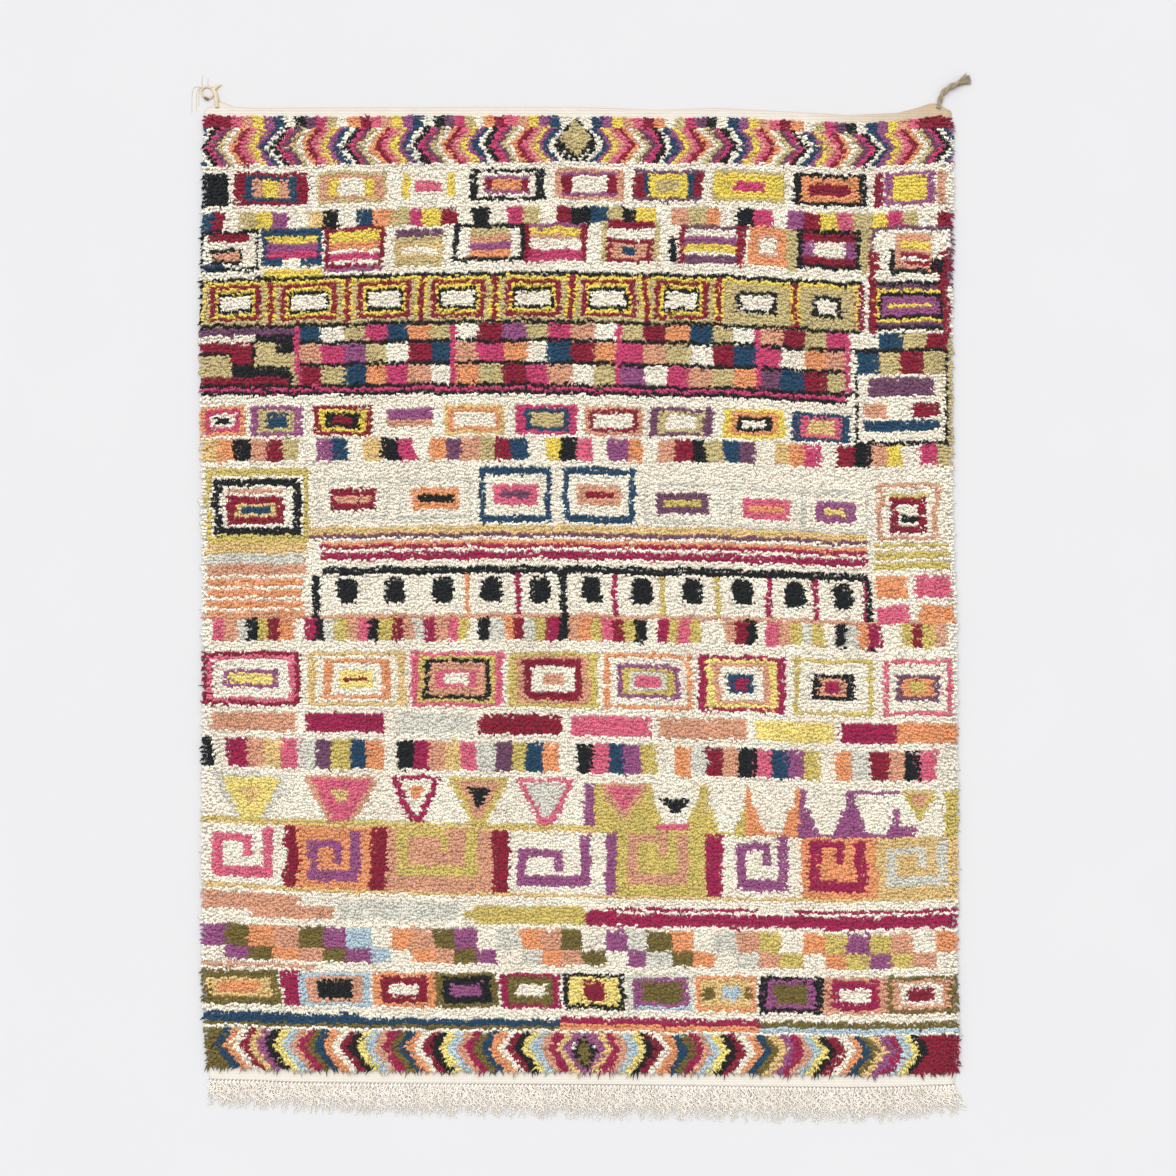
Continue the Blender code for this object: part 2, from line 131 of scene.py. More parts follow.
# The pile: one tuft for each knot. It is lower in a rim along the sides and in its first and last rows.
COLUMNS = 286
ROWS = 266
PILE_PIECES = 4
RIM_WIDTH = 0.035
FIRST_ROWS = 0.040
LAST_ROWS = 0.026

# The cloth wavers by this much, in waves of this size, but hardly near its two ends.
WAVER = 0.0018
WAVER_SIZE = 0.11
WAVER_SEED = 5
# The bumps of an end fade over the first length inwards and are calmed over the second one.
END_FADE = 0.03
END_CALM = 0.12

# Nothing of the fringe or the ties lies lower than this over the floor.
FLOOR_GAP = 0.0002

# The pattern's rows aren't level: by how many rows they sit lower at the left, middle and right.
Sway = namedtuple("Sway", "row left middle right")
SWAYS = (
    Sway(0, 0.0, 0.0, 0.0), Sway(15, -0.5, -1.8, -2.0), Sway(26, 0.0, -2.4, -1.5),
    Sway(33, -0.2, -2.7, -1.4), Sway(46, 0.3, -2.3, 0.1), Sway(59, 0.2, -1.9, 0.6),
    Sway(77, -0.4, -1.3, 0.8), Sway(100, 0.0, -1.0, 0.0), Sway(116, -0.4, -1.8, -0.2),
    Sway(144, -0.2, -1.2, 0.0), Sway(150, 0.0, -0.6, 1.2), Sway(165, -0.3, -0.3, 1.6),
    Sway(170, -0.3, 0.2, 2.2), Sway(178, -0.3, 1.0, 2.7), Sway(184, -0.3, 0.5, 2.6),
    Sway(193, -0.8, 0.4, 1.8), Sway(200, -1.6, 0.2, 1.0), Sway(216, -1.8, 0.6, 0.8),
    Sway(223, -0.3, -0.4, 0.0), Sway(227, -0.2, 0.6, 1.2), Sway(232, -0.2, 0.0, 0.4),
    Sway(236, -0.9, 0.2, 0.6), Sway(240, -0.5, -0.5, -0.4), Sway(251, 0.0, 0.6, 2.0),
    Sway(256, -0.3, -0.2, 0.0), Sway(266, 0.0, 0.0, 0.0),
)

Yarn = namedtuple("Yarn", "letter name colour")
YARNS = (
    Yarn("i", "ivory", "FBF1DE"), Yarn("c", "crimson", "8E1A34"), Yarn("m", "magenta", "A4204F"),
    Yarn("k", "rose", "DF6883"), Yarn("d", "dusty", "DDA283"), Yarn("p", "peach", "EC9E6C"),
    Yarn("y", "yellow", "F6E084"), Yarn("g", "gold", "E6C484"), Yarn("h", "khaki", "D6C06C"),
    Yarn("o", "olive", "766632"), Yarn("n", "navy", "214663"), Yarn("v", "violet", "9C5585"),
    Yarn("u", "plum", "754A66"), Yarn("b", "black", "14181B"), Yarn("w", "pale_grey", "DDDACC"),
    Yarn("l", "light_blue", "B9CED8"), Yarn("t", "sand", "CDBA84"), Yarn("r", "raspberry", "CB4471"),
    Yarn("s", "sunflower", "F0D55C"),
)
LETTERS = "".join(yarn.letter for yarn in YARNS)
# Yarns of another dye lot, knotted in place of some in the rows above this one.
UPPER_LOTS = {"h": "t", "m": "r", "y": "s", "w": "i"}
UPPER_LOTS_END = 98


def linear(hexword):
    """A colour written as six hex digits, in the linear values that Blender's sockets take."""
    shares = [int(hexword[i:i + 2], 16) / 255 for i in (0, 2, 4)]
    return tuple(s / 12.92 if s < 0.04045 else ((s + 0.055) / 1.055) ** 2.4 for s in shares)


class YarnColours(bpy.types.PropertyGroup):
    """The dyed yarns of the pile."""

    __annotations__ = {
        yarn.name: bpy.props.FloatVectorProperty(
            name=yarn.name.replace("_", " ").capitalize(),
            description=f"Colour of the {yarn.name.replace('_', ' ')} yarn",
            default=linear(yarn.colour), size=3, min=0.0, max=1.0, subtype="COLOR")
        for yarn in YARNS
    }


class RugSizes(bpy.types.PropertyGroup):
    """Sizes that a maker would choose."""

    ground: bpy.props.FloatProperty(
        name="Ground", description="Thickness of the flat-woven ground", default=0.004,
        min=0.002, max=0.008, unit="LENGTH")
    pile: bpy.props.FloatProperty(
        name="Pile height", description="Height of the tufts over the floor", default=0.0215,
        min=0.008, max=0.03, unit="LENGTH")
    loose: bpy.props.FloatProperty(
        name="Loose tips", description="How much of the pile stands loose over the packed roots",
        default=0.0023, min=0.001, max=0.015, unit="LENGTH")
    tuft: bpy.props.FloatProperty(
        name="Wisp", description="Half the width of a tuft's wisp where it is fullest", default=0.0033,
        min=0.001, max=0.01, unit="LENGTH")
    lean: bpy.props.FloatProperty(
        name="Lean", description="How far a tuft's tip leans towards the fringe", default=0.009,
        min=0.0, max=0.03, unit="LENGTH")
    warp_pitch: bpy.props.FloatProperty(
        name="Warp knots", description="Distance between the knots that hold the fringe",
        default=0.0103, min=0.005, max=0.03, unit="LENGTH")
    fringe_yarn: bpy.props.FloatProperty(
        name="Fringe yarn", description="Half the thickness of a strand of the fringe",
        default=0.0018, min=0.0005, max=0.004, unit="LENGTH")
    seed: bpy.props.IntProperty(
        name="Seed", description="Start of all the uneven places", default=11, min=0)


class Chart:
    """One yarn for each knot, with rows counted from the upper end and columns from the left."""

    inset_rows = 1.3
    inset_columns = 2.6

    def __init__(self):
        self.knots = np.full((ROWS, COLUMNS), LETTERS.index("i"))

    def fill(self, left, right, top, bottom, yarn):
        self.knots[top:bottom, left:right] = LETTERS.index(yarn)

    def rings(self, left, right, top, bottom, word):
        """Boxes inside one another: c4.1 is a crimson ring of 4 knots at the sides, 1 at the ends. After
        a bar come level stripes, of one row for each letter."""
        rings, _, stripes = word.partition("|")
        for ring in rings.split():
            self.fill(left, right, top, bottom, ring[0])
            sides, ends = (int(n) for n in (ring[1:] or "0.0").split("."))
            left, right, top, bottom = left + sides, right - sides, top + ends, bottom - ends
        self.stripes(left, right, top, stripes)

    def boxes(self, *boxes):
        """Boxes of rings, one over another, each from its left, right, top, bottom and word."""
        for box in boxes:
            self.rings(*box)

    def row_of_boxes(self, top, bottom, boxes):
        """Boxes of rings side by side, each from its left, right and word."""
        for left, right, word in boxes:
            self.rings(left, right, top, bottom, word)

    def blocks(self, left, right, top, bottom, word):
        """Equal blocks side by side, one for each letter."""
        edges = np.linspace(left, right, len(word) + 1).round().astype(int)
        for start, end, yarn in zip(edges, edges[1:], word):
            self.fill(start, end, top, bottom, yarn)

    def stripes(self, left, right, top, word):
        """Stripes of one row for each letter, downwards."""
        for row, yarn in enumerate(word):
            self.fill(left, right, top + row, top + row + 1, yarn)

    def chevrons(self, top, bottom, vertex, centre, first, width, words):
        """Nested arrowheads that point away from the centre, from one word for each side. Their points
        are at the vertex row, and the first one starts that many columns from the centre."""
        slant = 5.0
        rows, columns = np.mgrid[top:bottom, 0:COLUMNS]
        rise = 2 * np.abs(rows - vertex) / (bottom - top)
        away = np.abs(columns + 0.5 - centre) + slant * rise ** 1.15 - first
        turn = np.floor(np.maximum(away, 0.0) / width).astype(int)
        for word, side in zip(words, (columns < centre, columns >= centre)):
            order = np.array([LETTERS.index(yarn) for yarn in word])[turn % len(word)]
            drawn = side & (away >= 0)
            self.knots[top:bottom][drawn] = order[drawn]

    def lozenge(self, middle, half, rise, centre_row, word):
        """A diamond of one knot for each letter, from its outline inwards."""
        for inset, yarn in enumerate(word):
            for row in range(ROWS):
                reach = half * (1 - abs(row - centre_row) / rise) - self.inset_rows * inset
                if reach > 0:
                    self.fill(round(middle - reach), round(middle + reach), row, row + 1, yarn)

    def spiral(self, left, right, top, bottom, drop, yarn):
        """A square spiral: down the right side, along the bottom, up, along a dropped top and in."""
        turn = left + round((right - left) * 0.64)
        inner_top = top + drop
        self.fill(right - 4, right, top, bottom, yarn)
        self.fill(left, right, bottom - 3, bottom, yarn)
        self.fill(left, left + 4, inner_top, bottom, yarn)
        self.fill(left, turn, inner_top, inner_top + 2, yarn)
        self.fill(turn - 3, turn, inner_top, inner_top + 6, yarn)

    def peak(self, left, right, top, bottom, tip, word):
        """Triangles inside one another, point down, with that share of their width at the tip."""
        middle = (left + right) / 2
        for inset, yarn in enumerate(word):
            for row in range(top + round(self.inset_rows * inset), bottom):
                share = tip + (1 - tip) * (bottom - row) / (bottom - top)
                half = (right - left) / 2 * share - self.inset_columns * inset
                if half >= 1:
                    self.fill(round(middle - half), round(middle + half), row, row + 1, yarn)


def draw_upper_bands(chart):
    # Short blocks, then arrowheads on both sides of a lozenge.
    course = "invydkcpwhmub"
    middle = 142
    block = 4.05
    for column in range(COLUMNS):
        away = max(abs(column + 0.5 - middle) - 1.5, 0.0)
        chart.fill(column, column + 1, 0, 4, course[int(away / block) % len(course)])
    chart.row_of_boxes(0, 4, ((0, 10, "c"), (277, COLUMNS, "c")))
    chart.chevrons(4, 15, 9, middle, 6.1, 2.07, ("binvydkcpwhum", "binvydkcpwhum"))
    chart.lozenge(middle, 7.4, 7.4, 7.2, "bhhh")
    # Boxes of rings, then a row of blocks.
    chart.row_of_boxes(17, 26, (
        (0, 10, "b"), (12, 40, "c4.1 n3.1 d4.0 y"), (44, 70, "h1.1 d3.1 y4.0 i"),
        (74, 98, "w1.1 i1.0 y3.0 i2.2 k"), (102, 130, "b3.1 i2.1 v0.1 c3.0 p"),
        (134, 161, "d3.1 v0.1 c4.0 w"), (164, 191, "u0.1 c4.0 n2.0 y3.2 h"),
        (195, 222, "h1.1 y7.2 m"), (225, 253, "b3.1 p3.2 c"), (256, 259, "c"),
        (260, 279, "v3.1 y"), (280, 283, "d"),
    ))
    chart.blocks(0, 8, 28, 33, "nc")
    chart.blocks(8, 135, 28, 33, "ihyvigbinphmycibwmhi")
    chart.blocks(135, COLUMNS, 28, 33, "cbnhbyidhpibmivcykhymhic")
    # Boxes of rings or stripes.
    chart.boxes(
        (0, 22, 33, 44, "b1.1 i"), (4, 16, 38, 42, "b1.1 d"), (3, 18, 34, 36, "c"), (1, 9, 42, 43, "n"),
        (23, 46, 33, 43, "n2.2|yyvvmm"), (31, 38, 41, 43, "w"), (24, 46, 44, 46, "y"),
        (47, 70, 33, 45, "c2.0|cyyyppwmmwcv"), (47, 70, 44, 45, "v"), (74, 92, 34, 36, "u"),
        (74, 92, 36, 44, "h1.2 g1.1 w"), (96, 123, 33, 43, "b"), (98, 121, 34, 42, "i4.0|hhddvvpp"),
        (123, 147, 33, 43, "c2.0|vyydwwwmmm"), (152, 174, 32, 43, "h2.0 c0.2"), (154, 172, 34, 37, "w"),
        (154, 172, 37, 43, "c2.1 d4.1 n"), (178, 181, 36, 43, "b"), (182, 206, 33, 43, "c2.0|uwwvvyywuu"),
        (206, 207, 33, 44, "c"), (208, 223, 33, 43, "p3.2 d1.1 w"), (223, 227, 33, 44, "h"),
        (227, 251, 33, 43, "b2.1 c0.2 v4.0 i4.2 y"), (251, 255, 31, 44, "h"),
        (255, COLUMNS, 32, 47, "u1.1 i"), (264, 278, 34, 43, "d"), (266, 277, 36, 38, "y"),
        (266, 277, 39, 42, "c1.1 i"), (261, 264, 38, 43, "b"), (278, 282, 40, 43, "b"),
        (261, 282, 43, 44, "b"),
    )
    # Gold boxes between crimson walls, on black.
    chart.fill(0, 251, 46, 60, "b")
    walls = (0, 27, 56, 84, 112, 141, 169, 197, 226, 251)
    for place, (left, right) in enumerate(zip(walls, walls[1:])):
        word = "y1.1 h2.0 c2.1 y1.1 b1.1 i" if place < 7 else "y1.1 h5.2 b2.1 i"
        chart.boxes((left + 1, right - 1, 47, 59, word), (left + 1, right - 1, 58, 59, "h"),
                    (right - 1, right + 1, 47, 59, "c"))
    chart.boxes((256, 284, 46, 59, "b0.1 u0.1 h1.0 y1.1 b1.1 v2.2 y2.1 i"), (254, 257, 38, 60, "c"),
                (282, 285, 38, 60, "c"))


def draw_check_panel(chart):
    """Three rows of checks between magenta bars, stepped blocks at the left and a column at the right."""
    rows = ((60, 64, ("nihmnph", "icvhmdi", "hcpnhi", "dchm")),
            (65, 70, ("dmvhicn", "dmpincp", "mdhicn", "mipd")),
            (71, 76, ("chnpmdi", "phcmdih", "vimdhp", "unch")))
    bars = (37, 96, 159, 212, 246)
    for top, bottom, words in rows:
        chart.fill(0, 248, bottom, bottom + 1, "b")
        for left, right, word in zip(bars, bars[1:], words):
            chart.blocks(left + 1, right, top, bottom, word)
    for bar in bars:
        chart.fill(bar - 1, bar + 1, 60, 76, "m")
    # The stepped blocks at the left.
    chart.boxes(
        (0, 36, 60, 77, "b"), (0, 36, 60, 62, "u"), (0, 21, 62, 64, "i"), (0, 20, 64, 67, "c"),
        (12, 20, 67, 70, "c"), (21, 29, 64, 71, "h"), (29, 36, 67, 71, "h"), (0, 12, 68, 74, "h"),
        (0, 33, 74, 76, "c"), (34, 36, 71, 77, "h"),
    )
    chart.stripes(0, 246, 76, "bmb")
    # The column at the right.
    chart.blocks(250, 284, 60, 64, "inhc")
    chart.boxes((249, 284, 64, 65, "b"), (284, COLUMNS, 60, 91, "h"), (249, 250, 70, 91, "b"),
                (283, 284, 64, 91, "b"), (249, 284, 90, 91, "b"))
    chart.blocks(250, 283, 65, 71, "nhch")
    chart.boxes((250, 283, 71, 78, "w4.1 u"), (252, 261, 79, 83, "d"), (271, 281, 79, 83, "c"),
                (252, 281, 84, 87, "n"))


def draw_middle_bands(chart):
    """Boxes, checks, stripes, dots and narrow bars."""
    chart.row_of_boxes(82, 90, (
        (0, 17, "p2.1 m2.1 i2.1 b"), (19, 39, "v3.1 h3.1 n"), (43, 65, "c2.1 y2.1 b3.1 c"),
        (71, 88, "|wvvvddww"), (93, 116, "g2.1 p2.1 i"), (120, 143, "m3.1 n2.1 h"),
        (146, 168, "d2.1 c2.1 i"), (171, 195, "u3.1 h3.1 w"), (199, 222, "y3.1 p2.1 b2.1 i"),
        (225, 247, "n3.1 k3.1 g"),
    ))
    chart.blocks(0, COLUMNS, 91, 97, "gpbdchivnwgbmipudhcniybkwvpidcbhnuigpmwcbdyimh")
    # Boxes far apart on ivory, some in pale rings.
    chart.boxes(
        (2, 41, 99, 120, "h2.2 i"), (5, 38, 102, 118, "b3.2 i"), (10, 31, 105, 106, "d"),
        (10, 31, 107, 115, "c3.2 g2.1 n"), (257, 281, 102, 118, "d2.1 i"), (261, 277, 105, 106, "h"),
        (262, 276, 106, 116, "c3.2 i"), (266, 273, 111, 113, "b"), (106, 133, 99, 115, "n2.2 i3.3 k3.2 u"),
        (138, 165, 99, 115, "n2.2 i3.3 d3.2 c"),
    )
    for left, right, top, word in ((49, 67, 105, "c2.2 d"), (80, 98, 105, "p2.2 b"),
                                   (173, 193, 106, "u3.2 h"), (206, 224, 107, "k2.2 p"),
                                   (234, 249, 107, "v3.2 y")):
        chart.boxes((left - 5, right + 5, top - 3, top + 9, "w1.1 i"), (left, right, top, top + 6, word))
    # Level stripes.
    for left, right, top, word in ((41, 253, 116, "ggu"), (45, 253, 120, "pmimm"),
                                   (2, 40, 120, "gggwwwddd"), (46, 253, 127, "bb"),
                                   (2, 38, 130, "ppippippip"), (256, 284, 119, "hihhihh")):
        chart.stripes(left, right, top, word)
    # Black dots with thin bars between them.
    for centre in (55, 73, 91, 110, 128, 148, 167, 186, 205, 225, 243):
        chart.boxes((centre - 3, centre + 3, 130, 137, "b"), (centre - 4, centre + 4, 131, 136, "b"))
    for centre, yarn in ((101, "p"), (120, "m"), (157, "m"), (175, "h"), (196, "h"), (215, "m"),
                         (233, "m")):
        chart.fill(centre - 1, centre + 1, 129, 140, yarn)
    chart.boxes((251, 252, 129, 148, "m"), (252, 254, 129, 148, "b"), (0, COLUMNS, 140, 141, "d"))
    # Two pairs of blocks at the right, then narrow bars.
    chart.row_of_boxes(128, 134, ((256, 268, "p"), (271, 284, "k")))
    chart.row_of_boxes(136, 141, ((256, 268, "k"), (272, 285, "p")))
    chart.blocks(0, COLUMNS, 141, 147,
                 "ikdwbhcpimbwhdkbhcdwmdkhibwpcwhmbdphkchbimhkhiidcbikdhwhibwpmiihchdi")
    for left in (42, 136):
        chart.fill(left, left + 3, 129, 147, "b")


def draw_lower_bands(chart):
    """Large boxes, long blocks, checks and triangles."""
    chart.row_of_boxes(150, 165, (
        (0, 37, "c2.1 k2.1 i4.3 v2.1 y"), (40, 77, "g3.1 i3.1 p3.1 i3.2 y2.2 c"),
        (79, 114, "k3.1 h2.1 b2.1 d3.2 k3.1 i"), (116, 150, "h3.1 d3.1 c3.2 i4.2 d"),
        (152, 186, "p2.1 i3.2 v2.1 h3.1 w2.1 k"), (188, 221, "m3.1 y3.1 d3.1 i3.2 n2.1 m"),
        (224, 254, "h2.1 i5.3 b3.1 d2.1 m"), (258, 284, "k2.1 i3.3 u2.1 p3.1 h"),
    ))
    chart.row_of_boxes(167, 172, (
        (4, 35, "d"), (39, 69, "m"), (74, 103, "w"), (105, 136, "c"), (140, 170, "k"),
        (173, 206, "d"), (209, 239, "y"), (242, 263, "m"), (263, COLUMNS, "p"),
    ))
    # Runs of blocks.
    for left, right, word in ((0, 5, "b"), (10, 69, "mdgkwuhnp"), (74, 135, "bmdgkwuhnp"),
                              (142, 172, "bknvh"), (179, 185, "p"), (185, 234, "wcdbknvh"),
                              (240, 279, "pwcdbk")):
        chart.blocks(left, right, 174, 182, word)
    # Triangles, on coloured grounds at the right.
    chart.boxes(
        (145, 149, 185, 199, "v"), (149, 206, 185, 199, "h"), (206, 226, 185, 199, "p"),
        (226, 264, 185, 199, "v"), (262, 270, 196, 199, "v"), (281, COLUMNS, 185, 199, "h"),
    )
    for left, right, tip, word in (
        (4, 33, 0.40, "wyyg"), (38, 67, 0.35, "dkkg"), (71, 91, 0.20, "mip"), (93, 116, 0.25, "hdb"),
        (119, 141, 0.20, "kw"),
    ):
        chart.peak(left, right, 184, 197, tip, word)
    chart.peak(150, 168, 185, 195, 0.10, "dkh")
    for left, right in ((170, 188), (191, 206), (208, 224), (228, 244), (247, 264)):
        chart.fill(left, right, 184, 190, "i")
        chart.peak(left, right, 188, 198, 0.35, "i")
    chart.peak(173, 185, 189, 193, 0.10, "b")
    chart.boxes((172, 184, 196, 198, "k"), (247, 264, 185, 186, "v"))
    chart.peak(265, 278, 185, 194, 0.10, "hd")


def draw_key_bands(chart):
    """Square spirals, long strokes, double checks and boxes."""
    # Square spirals between two thin lines.
    chart.stripes(0, 149, 197, "hg")
    chart.stripes(0, COLUMNS, 216, "g")
    chart.row_of_boxes(199, 216, (
        (36, 64, "p"), (70, 110, "d"), (157, 191, "h"), (227, 255, "p"), (255, COLUMNS, "g"),
        (31, 36, "c"), (64, 70, "c"), (110, 116, "c"), (153, 157, "v"), (191, 197, "m"),
    ))
    for left, right, top, bottom, drop, yarn in (
        (4, 27, 200, 214, 2, "k"), (40, 60, 200, 214, 3, "v"), (74, 104, 199, 212, 0, "h"),
        (119, 147, 200, 214, 4, "v"), (161, 184, 199, 213, 0, "d"), (202, 222, 199, 214, 2, "v"),
        (230, 251, 200, 214, 0, "m"), (259, 282, 200, 213, 2, "w"),
    ):
        chart.spiral(left, right, top, bottom, drop, yarn)
    # Long strokes.
    chart.boxes(
        (0, 37, 218, 222, "d"), (18, 50, 221, 224, "d"), (52, 97, 219, 224, "w"),
        (103, 146, 220, 225, "h"), (99, 110, 222, 224, "h"), (154, 210, 220, 221, "m"),
        (147, 157, 221, 222, "m"), (224, COLUMNS, 220, 221, "m"), (146, COLUMNS, 222, 225, "m"),
    )
    # Two rows of checks, then boxes.
    for left, right, upper, lower in ((0, 64, "vopdovl", "ivopdov"), (64, 136, "ipdoviwpd", "lipdoviwp"),
                                      (136, COLUMNS, "oivwopiwdhiphvhdip", "doivwopiwdhiphvhdi")):
        chart.blocks(left, right, 226, 232, upper)
        chart.blocks(left, right, 232, 236, lower)
    chart.fill(0, 44, 237, 238, "d")
    chart.row_of_boxes(239, 248, (
        (0, 29, "o3.2 g4.1 p"), (30, 37, "m"), (37, 64, "l3.1 d4.1 b"), (65, 88, "p3.1 c3.2 i"),
        (88, 112, "o3.1 b3.2 v"), (113, 136, "m3.1 o3.2 i"), (137, 160, "b2.1 y5.1 c"),
        (161, 186, "w2.1 v3.1 o"), (187, 210, "p2.1 g"), (211, 235, "b3.1 v3.1 o"),
        (235, 259, "d3.1 m3.2 i"), (259, COLUMNS, "o2.1 d3.1 i3.1 c"),
    ))
    chart.row_of_boxes(242, 245, ((190, 194, "o"), (197, 203, "l"), (205, 208, "o")))
    chart.fill(163, 185, 247, 248, "l")


def draw_lowest_bands(chart):
    """Two-line stripes and the last chevrons."""
    chart.row_of_boxes(250, 254, ((0, 60, "|nnno"), (60, 135, "|inno"), (135, 211, "|mmpp"),
                                  (211, COLUMNS, "|ooll")))
    step = "mdlybcipno"
    chart.chevrons(255, ROWS, 259, 144, 4.6, 3.15, (
        "vg" + 3 * step + "mdlybvgcipn" + "o" * 6, "vg" + 2 * step + "gv" + step + "gvmlyb" + "c" * 6))
    chart.fill(139, 149, 255, 258, "v")
    chart.lozenge(144, 4.6, 5.5, 260, "boo")


def swell(x, y, size, dice):
    """A smooth uneven field from about -1 to 1, made of five crossed waves of about that size."""
    evened = 2.6
    total = np.zeros(np.broadcast(x, y).shape)
    for heading, other in dice.uniform(0, math.tau, (5, 2)):
        pitch = math.tau / size * (0.6 + 0.8 * (other / math.tau))
        total += np.sin((x * math.cos(heading) + y * math.sin(heading)) * pitch + 7 * other)
    return total / evened


def stray(side, along, calm=0.0):
    """How far a side of the cloth stands out, with its short bumps calmed over that length."""
    places, outs = zip(*side)
    steps = np.linspace(-calm, calm, 9 if calm else 1)
    return sum(np.interp(along + step, places, outs) for step in steps) / len(steps)


def chart_row(distance):
    """Row of the chart at a distance from the lower end, and the length of cloth that a row takes."""
    pitch = PILE_LENGTH / ROWS
    return (PILE_TOP - distance) / pitch, pitch


def sag(share_x, distance):
    """How much lower than level a row of the weave lies, across the width."""
    row, pitch = chart_row(distance)
    rows, *lows = zip(*SWAYS)
    left, middle, right = (np.interp(row, rows, low) for low in lows)
    bend = left * (1 - share_x) * (1 - 2 * share_x) + middle * 4 * share_x * (1 - share_x)
    return (bend + right * share_x * (2 * share_x - 1)) * pitch


def cloth_point(share_x, distance, tuck=0.0):
    """Place on the floor of a point of the cloth, from its share of the width and its distance from
    the lower end. The sides are drawn in by the tuck."""
    dice = np.random.default_rng(WAVER_SEED)
    # None of the waver in the last 24 mm, and all of it from 104 mm inwards.
    inside = np.clip(np.minimum(distance, WOVEN_LENGTH - distance) / 0.08 - 0.3, 0.0, 1.0)
    waver = WAVER * inside * swell(share_x * WOVEN_WIDTH, distance, WAVER_SIZE, dice)
    share_x = share_x + waver * 4 * share_x * (1 - share_x)
    x = (share_x - 0.5) * WOVEN_WIDTH
    out = []
    for side, from_end in ((BOTTOM_SIDE, distance), (TOP_SIDE, WOVEN_LENGTH - distance)):
        near = np.exp(-from_end / END_FADE)
        out.append(WOVEN_LENGTH / 2 + near * stray(side, x) + (1 - near) * stray(side, x, END_CALM))
    bottom, top = -out[0], out[1]
    y = bottom + (top - bottom) * (distance - sag(share_x, distance) + waver) / WOVEN_LENGTH
    left = -WOVEN_WIDTH / 2 - stray(LEFT_SIDE, y) + tuck
    right = WOVEN_WIDTH / 2 + stray(RIGHT_SIDE, y) - tuck
    return left + (right - left) * share_x + CENTRED_BY[0], y + CENTRED_BY[1]


def knot_yarns(share_x, distance, dice):
    """The yarn of a knot at each place, with the uneven rows and edges of hand knotting."""
    chart = Chart()
    for draw in (draw_upper_bands, draw_check_panel, draw_middle_bands, draw_lower_bands,
                 draw_key_bands, draw_lowest_bands):
        draw(chart)
    upper = chart.knots[:UPPER_LOTS_END]
    for yarn, lot in UPPER_LOTS.items():
        upper[upper == LETTERS.index(yarn)] = LETTERS.index(lot)
    row_stray, column_stray = 0.25, 0.4
    row = chart_row(distance)[0]
    row = row + row_stray * swell(share_x * 2, row / ROWS, 0.30, dice)
    column = share_x * COLUMNS + column_stray * swell(share_x, row / ROWS * 2.6, 0.16, dice)
    row = np.clip(np.floor(row), 0, ROWS - 1).astype(int)
    column = np.clip(np.floor(column), 0, COLUMNS - 1).astype(int)
    return chart.knots[row, column]


def yarn_table(colours):
    """The yarns' colours as they are set, one row each."""
    return np.array([getattr(colours, yarn.name)[:] for yarn in YARNS])


def mesh_from(name, points, faces, marks=None):
    """A smooth mesh from arrays of points and faces, with colours or numbers kept for its points."""
    mesh = bpy.data.meshes.new(name)
    count, sides = faces.shape
    mesh.vertices.add(len(points))
    mesh.vertices.foreach_set("co", np.asarray(points, np.float32).ravel())
    mesh.loops.add(count * sides)
    mesh.loops.foreach_set("vertex_index", np.asarray(faces, np.int32).ravel())
    mesh.polygons.add(count)
    mesh.polygons.foreach_set("loop_start", np.arange(0, count * sides, sides, dtype=np.int32))
    mesh.polygons.foreach_set("use_smooth", np.ones(count, bool))
    mesh.update(calc_edges=True)
    for mark, values in (marks or {}).items():
        if values.ndim == 2:
            rgba = np.ones((len(points), 4), np.float32)
            rgba[:, :3] = values
            mesh.attributes.new(mark, "FLOAT_COLOR", "POINT").data.foreach_set("color", rgba.ravel())
        else:
            numbers = values.astype(np.float32)
            mesh.attributes.new(mark, "FLOAT", "POINT").data.foreach_set("value", numbers)
    return mesh


def dress(mesh, finish, slot, *nodes):
    """Put a finished mesh on the rug, in the place of the CAD nodes that it stands for."""
    piece = bpy.data.objects.new(mesh.name, mesh)
    bpy.context.scene.collection.objects.link(piece)
    mesh.materials.append(finish)
    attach(piece, "root")
    if nodes:
        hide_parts(*nodes)
    return piece


def tubes(paths, radii, sides=4):
    """Points and faces of many tapering yarns at once. Paths are (yarn, step, 3), radii (yarn, step)."""
    count, steps = radii.shape
    along = np.gradient(paths, axis=1)
    along /= np.linalg.norm(along, axis=2, keepdims=True) + 1e-9
    across = np.cross(along, (0.0, 0.0, 1.0)) + (1e-6, 0.0, 0.0)
    across /= np.linalg.norm(across, axis=2, keepdims=True)
    upward = np.cross(across, along)
    angles = math.tau * (np.arange(sides) + 0.5) / sides
    ring = (across[:, :, None] * np.cos(angles)[:, None] + upward[:, :, None] * np.sin(angles)[:, None])
    points = paths[:, :, None] + ring * radii[:, :, None, None]
    start = np.arange(count)[:, None, None] * steps * sides
    step = np.arange(steps - 1)[None, :, None] * sides
    side = np.arange(sides)[None, None, :]
    after = (side + 1) % sides
    faces = np.stack([start + step + side, start + step + after,
                      start + step + sides + after, start + step + sides + side], axis=-1)
    points = points.reshape(-1, 3)
    points[:, 2] = np.maximum(points[:, 2], FLOOR_GAP)
    return points, faces.reshape(-1, 4)


